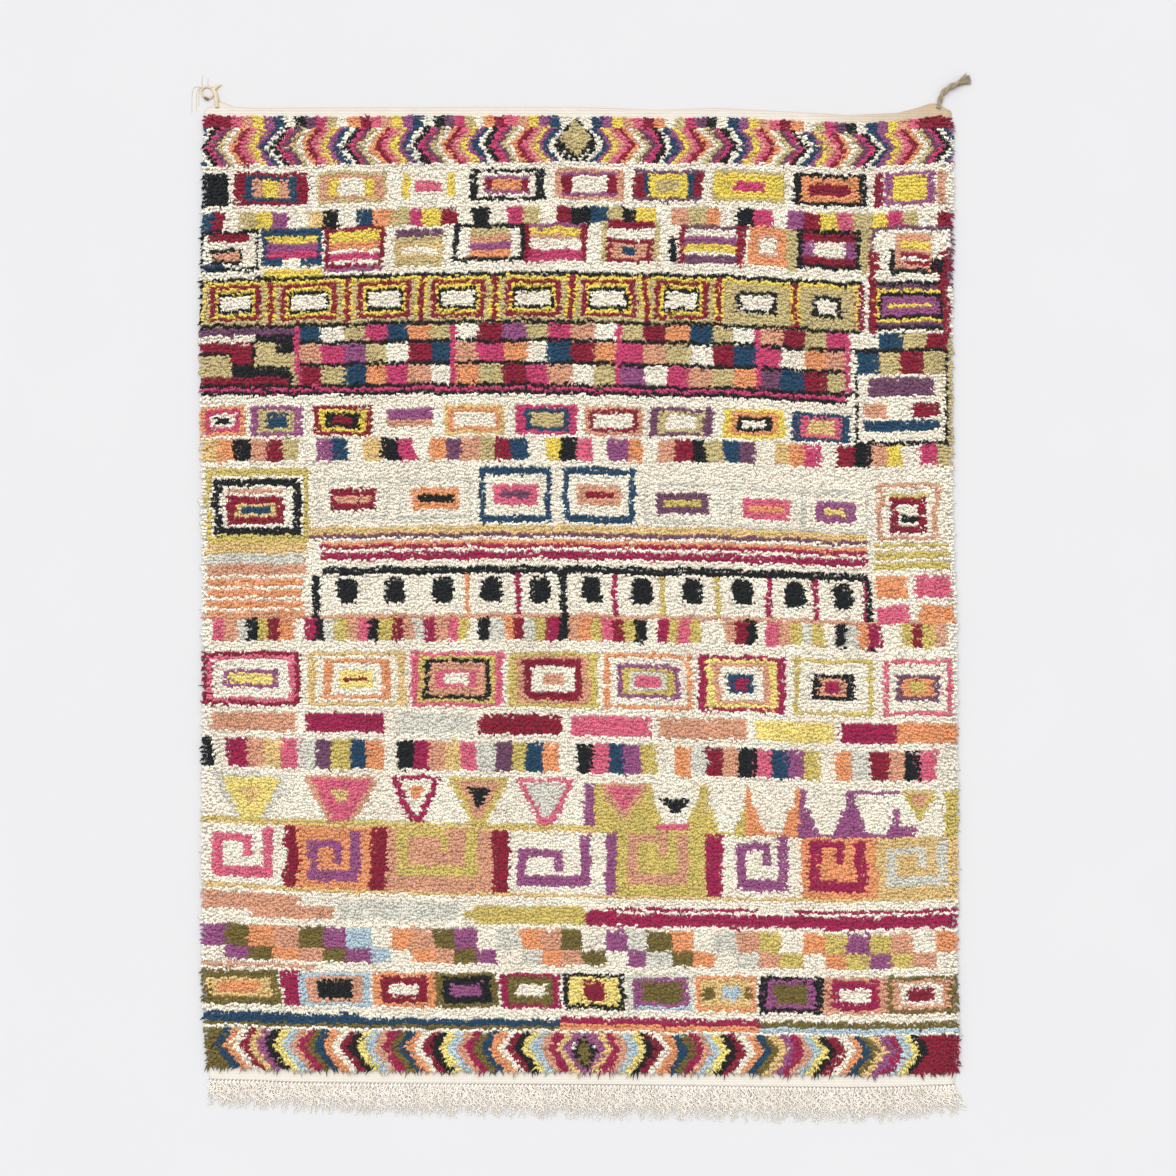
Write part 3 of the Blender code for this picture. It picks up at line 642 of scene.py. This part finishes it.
class Socket:
    """A shader value that takes part in Python sums: each operator adds its Math node."""

    def __init__(self, finish, output):
        self.finish = finish
        self.output = output

    def maths(self, operation, first, second=0.0):
        return self.finish.node("ShaderNodeMath", {"operation": operation}, {0: first, 1: second})

    def __add__(self, other):
        return self.maths("ADD", self, other)

    def __sub__(self, other):
        return self.maths("SUBTRACT", self, other)

    def __rsub__(self, other):
        return self.maths("SUBTRACT", other, self)

    def __mul__(self, other):
        return self.maths("MULTIPLY", self, other)

    def __truediv__(self, other):
        return self.maths("DIVIDE", self, other)

    def __lt__(self, other):
        return self.maths("LESS_THAN", self, other)

    def sine(self):
        return self.maths("SINE", self)

    def part(self):
        return self.maths("FRACT", self)

    def size(self):
        return self.maths("ABSOLUTE", self)

    __radd__ = __add__
    __rmul__ = __mul__


class Finish:
    """A material in the making, with its shader's nodes."""

    def __init__(self, name):
        self.material = bpy.data.materials.new(name)
        self.material.use_nodes = True
        self.tree = self.material.node_tree
        self.shader = self.tree.nodes["Principled BSDF"]

    def feed(self, socket, value):
        if isinstance(value, Socket):
            self.tree.links.new(value.output, socket)
        else:
            socket.default_value = value

    def node(self, kind, settings, sockets, output=0):
        """Add a node of that kind: its settings first, then the values or links of its sockets."""
        made = self.tree.nodes.new(kind)
        for name, value in settings.items():
            setattr(made, name, value)
        for name, value in sockets.items():
            self.feed(made.inputs[name], value)
        return Socket(self, made.outputs[output])

    def mark(self, name, output):
        """A colour or number that the mesh keeps for its points."""
        return self.node("ShaderNodeAttribute", {"attribute_name": name}, {}, output)

    def places(self):
        """Where each point of the surface lies on the object, in metres."""
        return self.node("ShaderNodeTexCoord", {}, {}, "Object")

    def split(self, places):
        """The x and the y of places."""
        return [self.node("ShaderNodeSeparateXYZ", {}, {0: places}, axis) for axis in (0, 1)]

    def grain(self, places, scale, detail=2.0, stretch=(1.0, 1.0, 1.0)):
        """Fine uneven noise from 0 to 1, of that many spots to the metre."""
        placed = self.node("ShaderNodeMapping", {}, {"Vector": places, "Scale": stretch})
        return self.node("ShaderNodeTexNoise", {}, {"Vector": placed, "Scale": scale, "Detail": detail})

    def mix(self, blend, share, first, second):
        return self.node("ShaderNodeMix", {"data_type": "RGBA", "blend_type": blend},
                         {0: share, 6: first, 7: second}, 2)

    def bump(self, height, strength, distance):
        return self.node("ShaderNodeBump", {}, {"Height": height, "Strength": strength,
                                                "Distance": distance})

    def close(self, colour, roughness, normal, sheen, specular=0.2):
        """Feed the shader what varies, and set what is the same all over."""
        sockets = {"Base Color": colour, "Roughness": roughness, "Sheen Weight": sheen,
                   "Sheen Roughness": 0.45, "Specular IOR Level": specular}
        if normal is not None:
            sockets["Normal"] = normal
        for name, value in sockets.items():
            self.feed(self.shader.inputs[name], value)
        return self.material


def pile_finish():
    """Dyed wool: each tuft's own dye, with painted shade that darkens it towards its root, uneven fibres
    and old fading.
    """
    finish = Finish("pile_wool")
    dye = finish.mark("dye", "Color")
    height = finish.mark("height", "Fac")
    places = finish.places()
    fibres = finish.grain(places, 900.0, 2.0, (1.0, 1.0, 0.25))
    strands = finish.grain(places, 300.0, 2.0, (1.0, 0.4, 0.4))
    mottle = finish.grain(places, 26.0, 3.0)
    # Painted shade: the height mark darkens each tuft towards its root, where the pile shades itself.
    light = 0.74 + 0.28 * height + 0.14 * (fibres - 0.5)
    light = light + 0.20 * (strands - 0.5) + 0.12 * (mottle - 0.5)
    colour = finish.mix("MULTIPLY", 1.0, dye, light)
    normal = finish.bump(fibres, 0.5, 0.0012)
    return finish.close(colour, 0.84 + 0.14 * fibres, normal, 0.08, 0.12)


def ground_finish(knot_pitch):
    """Flat weave: weft ridges across and warps along, with painted shade between the ridges, and small dark
    patches of painted shade for the holes beside the fringe's knots.
    """
    finish = Finish("flat_weave")
    # The dye mark carries the ground's colours with their painted shade: on the packed roots and in the
    # hem's fold.
    dye = finish.mark("dye", "Color")
    to_end = finish.mark("to_end", "Fac")
    places = finish.places()
    x, y = finish.split(places)
    uneven = finish.grain(places, 60.0, 3.0)
    weft_pitch, warp_pitch = 0.0075, 0.0052
    weft = (y * (math.tau / weft_pitch) + 3.0 * uneven).sine()
    warp = (x * (math.tau / warp_pitch) + 1.5 * uneven).sine()
    fibres = finish.grain(places, 700.0, 2.0, (0.35, 1.0, 1.0))
    beside = ((x / knot_pitch).part() - 0.5).size()
    # Painted shade: dark patches at the knots' pitch, next to the lower end, stand in for the shade in the
    # holes between the fringe's knots.
    hole_shade_half, hole_shade_length = 0.20, 0.0040
    hole_shade = (beside < hole_shade_half) * (to_end < hole_shade_length)
    # Painted shade: the weft and warp waves darken the colour between the ridges and lighten it on them;
    # fibres and uneven add random tone.
    light = 0.93 + 0.05 * weft + 0.025 * warp + 0.14 * (fibres - 0.5) + 0.10 * (uneven - 0.5)
    colour = finish.mix("MULTIPLY", 1.0, dye, light * (1.0 - 0.38 * hole_shade))
    normal = finish.bump(weft * 0.4 + warp * 0.3 + fibres, 0.6, 0.0012)
    return finish.close(colour, 0.86 + 0.12 * fibres, normal, 0.15)


def yarn_finish(name, light_tone, dark_tone, twist):
    """Undyed wool yarn: two mixed tones, twisted plies with painted shade between them, painted shade on
    lower strands, and fibres.
    """
    finish = Finish(name)
    places = finish.places()
    blotch = finish.grain(places, 45.0, 3.0)
    fibres = finish.grain(places, 1100.0, 2.0)
    height = finish.mark("height", "Fac")
    colour = finish.mix("MIX", blotch, (*linear(dark_tone), 1.0), (*linear(light_tone), 1.0))
    x, y = finish.split(places)
    plies = ((x + y) * (math.tau / twist) + 2.0 * blotch).sine()
    # Painted shade: the height mark darkens lower strands under the upper ones, and the ply waves darken
    # the colour between the plies.
    light = 0.76 + 0.26 * height + 0.25 * (fibres - 0.5) + 0.05 * plies
    colour = finish.mix("MULTIPLY", 1.0, colour, light)
    normal = finish.bump(fibres + 0.4 * plies, 0.6, 0.001)
    return finish.close(colour, 0.84 + 0.14 * fibres, normal, 0.2)


def floor_finish():
    """The plain pale floor of the studio."""
    finish = Finish("pale_floor")
    places = finish.places()
    tone = finish.grain(places, 3.0, 2.0)
    colour = finish.mix("MIX", tone, (*linear("C6C6C7"), 1.0), (*linear("C4C4C6"), 1.0))
    return finish.close(colour, 0.8 + 0.1 * tone, None, 0.0)


def weave_rows():
    """Distances of the ground's rows from the lower end: close together in both flat ends."""
    lower = np.linspace(0.0, FLAT_END_BOTTOM, 10)
    pile = np.linspace(FLAT_END_BOTTOM, PILE_TOP, ROWS + 1)[1:]
    upper = np.linspace(PILE_TOP, WOVEN_LENGTH, 8)[1:]
    return np.concatenate([lower, pile, upper])


def pile_shape(share_x, distance, height):
    """Smooth height of the pile's top, lower along the sides and towards both flat ends, and how far a
    place is into the side's rim, the last rows and the first rows."""
    from_side = np.minimum(share_x, 1 - share_x) * WOVEN_WIDTH
    side = np.clip(1 - from_side / RIM_WIDTH, 0.0, 1.0)
    last = np.clip(1 - (distance - FLAT_END_BOTTOM) / LAST_ROWS, 0.0, 1.0)
    first = np.clip(1 - (PILE_TOP - distance) / FIRST_ROWS, 0.0, 1.0)
    return height * (1 - 0.50 * side ** 2) * (1 - 0.35 * last) * (1 - 0.25 * first), side, last, first


def flat_weave_dye(share, distance):
    """Colours of the flat ends: cream, beige near the upper right corner, and painted shade in the hem's
    fold.
    """
    cream = np.array(linear("D8D2C7"))
    beige = np.array(linear("B89F7C"))
    upper_half = (distance > 1.3)[..., None]
    to_corner = np.clip((share - 0.80) / 0.17, 0.0, 1.0)[..., None] * upper_half
    flat = cream * (1 - 0.8 * to_corner) + beige * 0.8 * to_corner
    # Painted shade: a warm darkening along the upper end, where the hem folds over.
    fold_width = 0.004
    fold = np.exp(-((WOVEN_LENGTH - distance) / fold_width) ** 2)[..., None]
    return flat * (1 - 0.35 * fold * np.array((0.5, 0.8, 1.0)))


def closed_sheet(x, y, top):
    """Points and faces of a sheet that lies on the floor, from grids of its places and heights: its top,
    its flat underside and the wall round its edge."""
    rows, columns = x.shape
    upper = np.stack([x, y, top], axis=-1).reshape(-1, 3)
    under = np.stack([x, y, np.zeros_like(x)], axis=-1).reshape(-1, 3)
    place = np.arange(rows * columns).reshape(rows, columns)
    a, b, c, d = place[:-1, :-1], place[:-1, 1:], place[1:, 1:], place[1:, :-1]
    sheet = np.stack([a, b, c, d], axis=-1).reshape(-1, 4)
    rim = np.concatenate([place[0, :-1], place[:-1, -1], place[-1, :0:-1], place[:0:-1, 0]])
    ahead = np.roll(rim, -1)
    below = rows * columns
    wall = np.stack([rim, rim + below, ahead + below, ahead], axis=-1)
    return np.concatenate([upper, under]), np.concatenate([sheet, sheet[:, ::-1] + below, wall])


def make_ground(settings, colours):
    """The flat-woven ground as one thin closed sheet, with both flat ends and the backs of the knots."""
    dice = np.random.default_rng(settings.seed)
    distance, share = np.meshgrid(weave_rows(), np.linspace(0.0, 1.0, COLUMNS // 2 + 1), indexing="ij")
    slope, pile_tuck = 0.012, 0.011
    inside = np.clip(np.minimum(distance - FLAT_END_BOTTOM, PILE_TOP - distance) / slope, 0.0, 1.0)
    in_flat_end = (inside == 0.0)[..., None]
    x, y = cloth_point(share, distance, tuck=pile_tuck * inside)
    ripple = 0.0004 * swell(x, y, 0.05, dice) + 0.0003 * swell(x, y, 0.011, dice)
    packed = pile_shape(share, distance, settings.pile)[0] - settings.loose
    top = settings.ground + ripple + np.maximum(packed - settings.ground, 0.0) * inside
    hem_height, edge_share = 0.0014, 0.55
    hem = np.clip((distance - WOVEN_LENGTH + 0.010) / 0.004, 0.0, 1.0)
    top = top + hem_height * hem
    edge = (share == 0.0) | (share == 1.0) | (distance == 0.0) | (distance == WOVEN_LENGTH)
    points, faces = closed_sheet(x, y, np.where(edge, top * edge_share, top))
    knots = yarn_table(colours)[knot_yarns(share, distance, np.random.default_rng(settings.seed + 1))]
    flat = flat_weave_dye(share, distance)
    # Painted shade: over the pile, the packed roots take the knots' dye 8% darker, as the shade between the
    # tufts.
    upper_dye_and_shade = np.where(in_flat_end, flat, knots * 0.92)
    lower_dye = np.where(in_flat_end, flat, knots * 0.75 + flat * 0.15)
    marks = {
        "dye": np.concatenate([upper_dye_and_shade.reshape(-1, 3), lower_dye.reshape(-1, 3)]),
        "to_end": np.tile(distance.ravel(), 2),
    }
    return mesh_from("ground_weave", points, faces, marks)


def tuft_places(settings, dice):
    """Waist, lean and yarn of every tuft, as arrays with one row for each knot."""
    row, column = (grid.ravel() for grid in np.mgrid[0:ROWS, 0:COLUMNS])
    count = len(row)
    column_stray, row_stray, edge_tuck = 0.38, 0.28, -0.002
    share = (column + 0.5 + dice.uniform(-column_stray, column_stray, count)) / COLUMNS
    place = np.clip(row + 0.5 + dice.normal(0.0, row_stray, count), 0.2, ROWS - 0.2)
    distance = PILE_TOP - place / ROWS * PILE_LENGTH
    yarns = knot_yarns((column + 0.5) / COLUMNS, PILE_TOP - (row + 0.5) / ROWS * PILE_LENGTH,
                       np.random.default_rng(settings.seed + 1))
    x, y = cloth_point(share, distance, tuck=edge_tuck)
    height, side, last, first = pile_shape(share, distance, settings.pile)
    out = np.sign(share - 0.5) * side
    height = height + 0.0005 * swell(x, y, 0.09, dice) + dice.normal(0.0, 0.0004, count)
    lean_x = (0.003 * swell(x, y, 0.045, dice) + dice.normal(0.0, 0.0025, count)) * (1 - 0.7 * side)
    lean_x += 0.003 * out
    lean_y = -settings.lean * (1 - 0.6 * first) * (1 - 0.3 * side) - 0.006 * last
    waist = np.stack([x, y + 0.4 * settings.lean * (1 - first), height], axis=-1)
    lean = np.stack([lean_x, lean_y, -height * (0.06 + 0.30 * np.maximum(side, last))], axis=-1)
    return waist, lean, yarns


def make_tufts(settings, colours):
    """Every knot's tuft as two pointed wisps that lie over the row below, in a few joined meshes."""
    dice = np.random.default_rng(settings.seed + 2)
    waist, lean, yarns = tuft_places(settings, dice)
    count = len(waist)
    shade = 1 + 0.07 * dice.normal(0, 1, count) + 0.05 * swell(waist[:, 0], waist[:, 1], 0.25, dice)
    dye = np.clip(yarn_table(colours)[yarns] * shade[:, None], 0.0, 1.0)
    length = np.hypot(lean[:, 0], lean[:, 1])
    apart, heading_stray = 0.3, 0.65
    corners = []
    for side in (-1, 1):
        heading = np.arctan2(lean[:, 1], lean[:, 0]) + apart * side + dice.normal(0.0, heading_stray, count)
        ahead = np.stack([np.cos(heading), np.sin(heading), 0 * heading], axis=-1)
        across = np.stack([-ahead[:, 1], ahead[:, 0], 0 * heading], axis=-1)
        across *= (settings.tuft * dice.uniform(0.75, 1.25, count))[:, None]
        middle = waist + (side * WOVEN_WIDTH / COLUMNS / 4, 0.0, 0.0)
        foot = middle - 0.75 * ahead * length[:, None]
        foot[:, 2] -= settings.loose
        tip = middle + ahead * (length * dice.uniform(0.5, 1.9, count))[:, None]
        tip[:, 2] += lean[:, 2] * dice.uniform(0.6, 1.3, count)
        tilt = dice.normal(0.0, 0.0004, count)[:, None] * (0.0, 0.0, 1.0)
        corners += [foot, middle + across + tilt, middle - across - tilt, tip]
    points = np.stack(corners, axis=1)
    wisp = np.array([(0, 2, 1), (1, 2, 3), (0, 1, 3), (0, 3, 2)])
    lock = np.concatenate([wisp, wisp + 4])
    # Painted shade: a wisp's foot is marked lowest, so the finish darkens it towards the root.
    root_shade_marks = np.array([0.72, 0.92, 0.92, 1.0] * 2)
    meshes = []
    for part, chosen in enumerate(np.array_split(np.arange(count), PILE_PIECES)):
        faces = (np.arange(len(chosen))[:, None, None] * len(corners) + lock).reshape(-1, 3)
        marks = {
            "dye": np.repeat(dye[chosen], len(corners), axis=0),
            "height": np.tile(root_shade_marks, len(chosen)),
        }
        meshes.append(mesh_from(f"pile_{part + 1}", points[chosen].reshape(-1, 3), faces, marks))
    return meshes


def make_strands(settings, dice, count):
    """Kinked strands that hang out over the floor, in layers, and fan out at the right corner."""
    share = (np.arange(count) + 0.5 + dice.uniform(-0.3, 0.3, count)) / count
    x, y = cloth_point(share, np.zeros(count))
    nominal = (share - 0.5) * WOVEN_WIDTH
    length = np.interp(nominal, [r.along for r in FRINGE], [r.length for r in FRINGE])
    length = length + dice.uniform(-0.036, 0.008, count)
    steps, sides = 15, 3
    s = np.linspace(0.0, 1.0, steps)[None, :]
    run = s * length[:, None]
    phase = 9.0 * nominal + dice.normal(0.0, 0.9, count)
    swing = 0.0062 * np.clip(run / 0.014, 0, 1)
    wave = math.tau * run / dice.uniform(0.018, 0.036, count)[:, None] + phase[:, None]
    kink = swing * np.sin(wave)
    drift = dice.normal(0.0, 0.006, count)[:, None] * s
    splay = 0.028 * np.clip((nominal - 0.90) / 0.10, 0, 1)[:, None] * s ** 1.5
    px = x[:, None] + kink + drift + splay
    py = y[:, None] - 0.002 - run + 0.4 * swing * np.sin(2 * wave)
    layer = dice.uniform(0.0, 1.0, count)[:, None]
    pz = settings.fringe_yarn * 1.05 + 0.006 * layer * (1 - 0.5 * s) + 0.0008 * np.cos(wave)
    radius = settings.fringe_yarn * dice.uniform(0.7, 1.15, count)[:, None] * (1 - 0.45 * s ** 3)
    points, faces = tubes(np.stack([px, py, pz], axis=-1), radius, sides)
    # Painted shade: a strand's height mark follows its layer, so the finish darkens lower strands under the
    # upper ones.
    height = np.repeat((0.4 + 0.6 * layer) * np.ones((1, steps)), sides)
    return mesh_from("fringe_strands", points, faces, {"height": height})


def make_warp_knots(dice, count):
    """Short round knots in a row, close to the end of the weave."""
    half_length, thickness, gap = 0.0045, 0.0034, 0.003
    share = (np.arange(count) + 0.5) / count
    x, y = cloth_point(share, np.zeros(count))
    s = np.linspace(-1.0, 1.0, 7)[None, :]
    path = np.stack(np.broadcast_arrays(x[:, None], y[:, None] - gap - half_length * s, thickness), axis=-1)
    radius = thickness * np.sqrt(np.clip(1.02 - s ** 2, 0.02, 1)) * dice.uniform(0.85, 1.1, count)[:, None]
    points, faces = tubes(path, radius, 6)
    return mesh_from("warp_knots", points, faces, {"height": np.ones(len(points))})


def smooth_route(places, steps):
    """Centred points on a smooth curve through the places, as rows of x, y and share."""
    p = [np.array(place) + (*CENTRED_BY, 0.0) for place in places]
    p = [2 * p[0] - p[1]] + p + [2 * p[-1] - p[-2]]
    route = []
    for a, b, c, d in zip(p, p[1:], p[2:], p[3:]):
        for t in np.arange(steps) / steps:
            route.append(0.5 * (2 * b + (c - a) * t + (2 * a - 5 * b + 4 * c - d) * t * t
                                + (3 * b - a - 3 * c + d) * t ** 3))
    return np.array([*route, p[-2]])


def around(path, spread, count, turn):
    """Routes that twist round a path, at a distance from it: count of them, one turn each length."""
    along = np.gradient(path, axis=0)
    step = np.linalg.norm(along, axis=1)
    across = np.cross(along, (0.0, 0.0, 1.0)) + (1e-7, 0.0, 0.0)
    across /= np.linalg.norm(across, axis=1, keepdims=True)
    upward = np.cross(across, along / step[:, None])
    angle = math.tau * (np.cumsum(step) / turn + np.arange(count)[:, None] / count)
    spread = np.broadcast_to(spread, step.shape)[:, None]
    return path + spread * (across * np.cos(angle)[..., None] + upward * np.sin(angle)[..., None])


def lying(places, radius, steps):
    """A route on the floor with its own thickness at each point: points, and radii."""
    route = smooth_route(places, steps)
    radii = radius * route[:, 2]
    return np.column_stack([route[:, :2], radii]), radii


def join_tubes(name, groups, sides):
    """One mesh of several groups of yarns, each given as paths and radii."""
    points, faces, total = [], [], 0
    for paths, radii in groups:
        made, quads = tubes(paths, radii, sides)
        points.append(made)
        faces.append(quads + total)
        total += len(made)
    return mesh_from(name, np.concatenate(points), np.concatenate(faces), {"height": np.ones(total)})


def brush(dice):
    """The cord's fine ends, which fan out from its tip: paths and radii."""
    hairs = 70
    s = np.linspace(0.0, 1.0, 9)
    fan = np.sort(dice.uniform(0.0, len(BRUSH_TIPS) - 1, hairs))
    places = np.arange(len(BRUSH_TIPS))
    tip_x = np.interp(fan, places, [p.x for p in BRUSH_TIPS]) + CENTRED_BY[0]
    tip_y = np.interp(fan, places, [p.y for p in BRUSH_TIPS]) + CENTRED_BY[1]
    reach = dice.uniform(0.72, 1.0, hairs)[:, None]
    root_x = BRUSH_ROOT.x + CENTRED_BY[0] + dice.normal(0, 0.0028, hairs)[:, None]
    root_y = BRUSH_ROOT.y + CENTRED_BY[1] + dice.normal(0, 0.0028, hairs)[:, None]
    wave = 0.0012 * np.sin(s * dice.uniform(4, 12, hairs)[:, None] + dice.uniform(0, 6, hairs)[:, None])
    x = root_x + (tip_x[:, None] - root_x) * s * reach + wave * s
    y = root_y + (tip_y[:, None] - root_y) * s ** 0.85 * reach + wave * s
    z = dice.uniform(0.0015, 0.013, hairs)[:, None] * (1 - 0.55 * s) + 0.0008
    radius = dice.uniform(0.0007, 0.0013, hairs)[:, None] * (1 - 0.5 * s ** 2)
    return np.stack([x, y, z], axis=-1), radius


def make_right_tie(settings):
    """A thick cord of two plies, each of three yarns, that opens out into a brush of fine ends."""
    centre, radii = lying(RIGHT_CORD, CORD_RADIUS, 14)
    groups = []
    for ply in around(centre, radii * 0.46, 2, CORD_TURN):
        groups.append((around(ply, radii * 0.24, 3, YARN_TURN), np.tile(radii * 0.34, (3, 1))))
    groups.append(brush(np.random.default_rng(settings.seed + 4)))
    return join_tubes("corner_tie_right", groups, 6)


def make_left_tie():
    """A stem of five yarns, a ring loop of three, a cut end of four and loose hairs."""
    groups = []
    for places, yarns, turn in ((LEFT_STEM, 5, 0.040), ((*LEFT_LOOP, LEFT_LOOP[0]), 3, YARN_TURN),
                                (LEFT_BEAK, 4, 0.030)):
        centre, radii = lying(places, TIE_RADIUS, 10)
        groups.append((around(centre, radii * 0.5, yarns, turn), np.tile(radii * 0.52, (yarns, 1))))
    for places in LEFT_HAIRS:
        centre, radii = lying(places, HAIR_RADIUS, 9)
        groups.append((centre[None], radii[None]))
    return join_tubes("corner_tie_left", groups, 6)


def make_winding():
    """The dark yarn wound round the lower side of the left tie's loop."""
    centre, radii = lying(LEFT_KNOT, TIE_RADIUS * 0.9, 16)
    turns = around(centre, radii * 0.8, 1, WINDING_TURN)
    return join_tubes("corner_tie_winding", [(turns, radii[None] * 0.25)], 5)


class RugOperator(bpy.types.Operator):
    """What every step of the rug shares."""

    bl_options = {"REGISTER", "UNDO"}

    @property
    def sizes(self):
        return bpy.context.scene.rug_sizes

    @property
    def colours(self):
        return bpy.context.scene.rug_colours


class WOOLRUG_OT_pile(RugOperator):
    """Knot the coloured pile, tuft by tuft"""

    bl_idname = "woolrug.pile"
    bl_label = "Knot the pile"

    def execute(self, context):
        wool = pile_finish()
        for mesh in make_tufts(self.sizes, self.colours):
            dress(mesh, wool, "knotted_wool")
        return {"FINISHED"}


class WOOLRUG_OT_fringe(RugOperator):
    """Tie the warp ends into knots and let the fringe hang out over the floor"""

    bl_idname = "woolrug.fringe"
    bl_label = "Tie the fringe"

    def execute(self, context):
        wool = yarn_finish("warp_yarn", "FFFAF3", "E8DCCB", 0.004)
        dice = np.random.default_rng(self.sizes.seed + 3)
        knots = int(WOVEN_WIDTH / self.sizes.warp_pitch)
        strands = make_strands(self.sizes, dice, knots * STRANDS_PER_KNOT)
        for mesh in (strands, make_warp_knots(dice, knots)):
            dress(mesh, wool, "warp_yarn", "warp_fringe")
        return {"FINISHED"}


class WOOLRUG_OT_ties(RugOperator):
    """Twist the two corner ties at the upper end"""

    bl_idname = "woolrug.ties"
    bl_label = "Twist the corner ties"

    def execute(self, context):
        twist = 0.003
        for mesh, name, light_tone, dark_tone, slot, nodes in (
            (make_right_tie(self.sizes), "tie_yarn", "AC9E84", "7E705A", "tie_yarn", ("right_corner_tie",)),
            (make_left_tie(), "warp_tie_yarn", "E2D2B6", "BFA684", "warp_tie_yarn", ("left_corner_tie",)),
            (make_winding(), "winding_yarn", "8A5A4A", "5E3A34", "warp_tie_yarn", ()),
        ):
            dress(mesh, yarn_finish(name, light_tone, dark_tone, twist), slot, *nodes)
        return {"FINISHED"}


class WOOLRUG_OT_ground(RugOperator):
    """Weave the ground with both flat ends, under the pile"""

    bl_idname = "woolrug.ground"
    bl_label = "Weave the ground"

    def execute(self, context):
        mesh = make_ground(self.sizes, self.colours)
        weave = ground_finish(self.sizes.warp_pitch)
        piece = dress(mesh, weave, "knotted_wool", "rug")
        return {"FINISHED"}


class WOOLRUG_OT_stage(RugOperator):
    """Lay the pale floor and set the soft lights and the camera over the rug"""

    bl_idname = "woolrug.stage"
    bl_label = "Set the stage"

    def execute(self, context):
        half = 8.0
        corners = np.array([(-half, -half, 0), (half, -half, 0), (half, half, 0), (-half, half, 0)])
        mesh = mesh_from("floor", corners, np.array([(0, 1, 2, 3)]))
        floor = bpy.data.objects.new("floor", mesh)
        mesh.materials.append(floor_finish())
        context.scene.collection.objects.link(floor)
        world = bpy.data.worlds.new("studio")
        world.use_nodes = True
        background = world.node_tree.nodes["Background"]
        background.inputs["Color"].default_value = (1.0, 1.0, 1.0, 1.0)
        background.inputs["Strength"].default_value = 0.84
        context.scene.world = world
        context.scene.view_settings.view_transform = "Standard"
        self.soft_light("key_light", (-0.8, 2.2, 4.8), softness=60.0, power=2.5)
        self.camera(context)
        return {"FINISHED"}

    def soft_light(self, name, place, softness, power):
        """Far, even light from a wide source, as broad in degrees as its softness."""
        light = bpy.data.lights.new(name, "SUN")
        light.angle = math.radians(softness)
        light.energy = power
        lamp = bpy.data.objects.new(name, light)
        lamp.location = place
        lamp.rotation_euler = (-Vector(place)).to_track_quat("-Z", "Y").to_euler()
        bpy.context.scene.collection.objects.link(lamp)

    def camera(self, context):
        """Straight down, as in the photograph, with that much of the floor from side to side."""
        view_width, centre_x, centre_y, pile_height = 3.136, 0.0172, 0.0195, 0.02
        data = bpy.data.cameras.new("camera")
        data.lens = 85.0
        data.sensor_width = 36.0
        obj = bpy.data.objects.new("camera", data)
        away = view_width * data.lens / data.sensor_width
        obj.location = (centre_x, centre_y, away + pile_height)
        context.scene.collection.objects.link(obj)
        context.scene.camera = obj


STEPS = (WOOLRUG_OT_pile, WOOLRUG_OT_fringe, WOOLRUG_OT_ties, WOOLRUG_OT_ground, WOOLRUG_OT_stage)


class WOOLRUG_PT_panel(bpy.types.Panel):
    """Sizes, yarn colours and the steps that make the rug"""

    bl_idname = "WOOLRUG_PT_panel"
    bl_label = "Wool rug"
    bl_space_type = "VIEW_3D"
    bl_region_type = "UI"
    bl_category = "Wool rug"

    def draw(self, context):
        for group in (context.scene.rug_sizes, context.scene.rug_colours):
            for name in type(group).__annotations__:
                self.layout.prop(group, name)
        for step in STEPS:
            self.layout.operator(step.bl_idname)


CLASSES = (YarnColours, RugSizes, *STEPS, WOOLRUG_PT_panel)


def register():
    for cls in CLASSES:
        bpy.utils.register_class(cls)
    bpy.types.Scene.rug_sizes = bpy.props.PointerProperty(type=RugSizes)
    bpy.types.Scene.rug_colours = bpy.props.PointerProperty(type=YarnColours)


def unregister():
    del bpy.types.Scene.rug_colours
    del bpy.types.Scene.rug_sizes
    for cls in reversed(CLASSES):
        bpy.utils.unregister_class(cls)


def main():
    register()
    bpy.ops.woolrug.pile()
    bpy.ops.woolrug.fringe()
    bpy.ops.woolrug.ties()
    bpy.ops.woolrug.ground()
    bpy.ops.woolrug.stage()


if __name__ == "__main__":
    main()
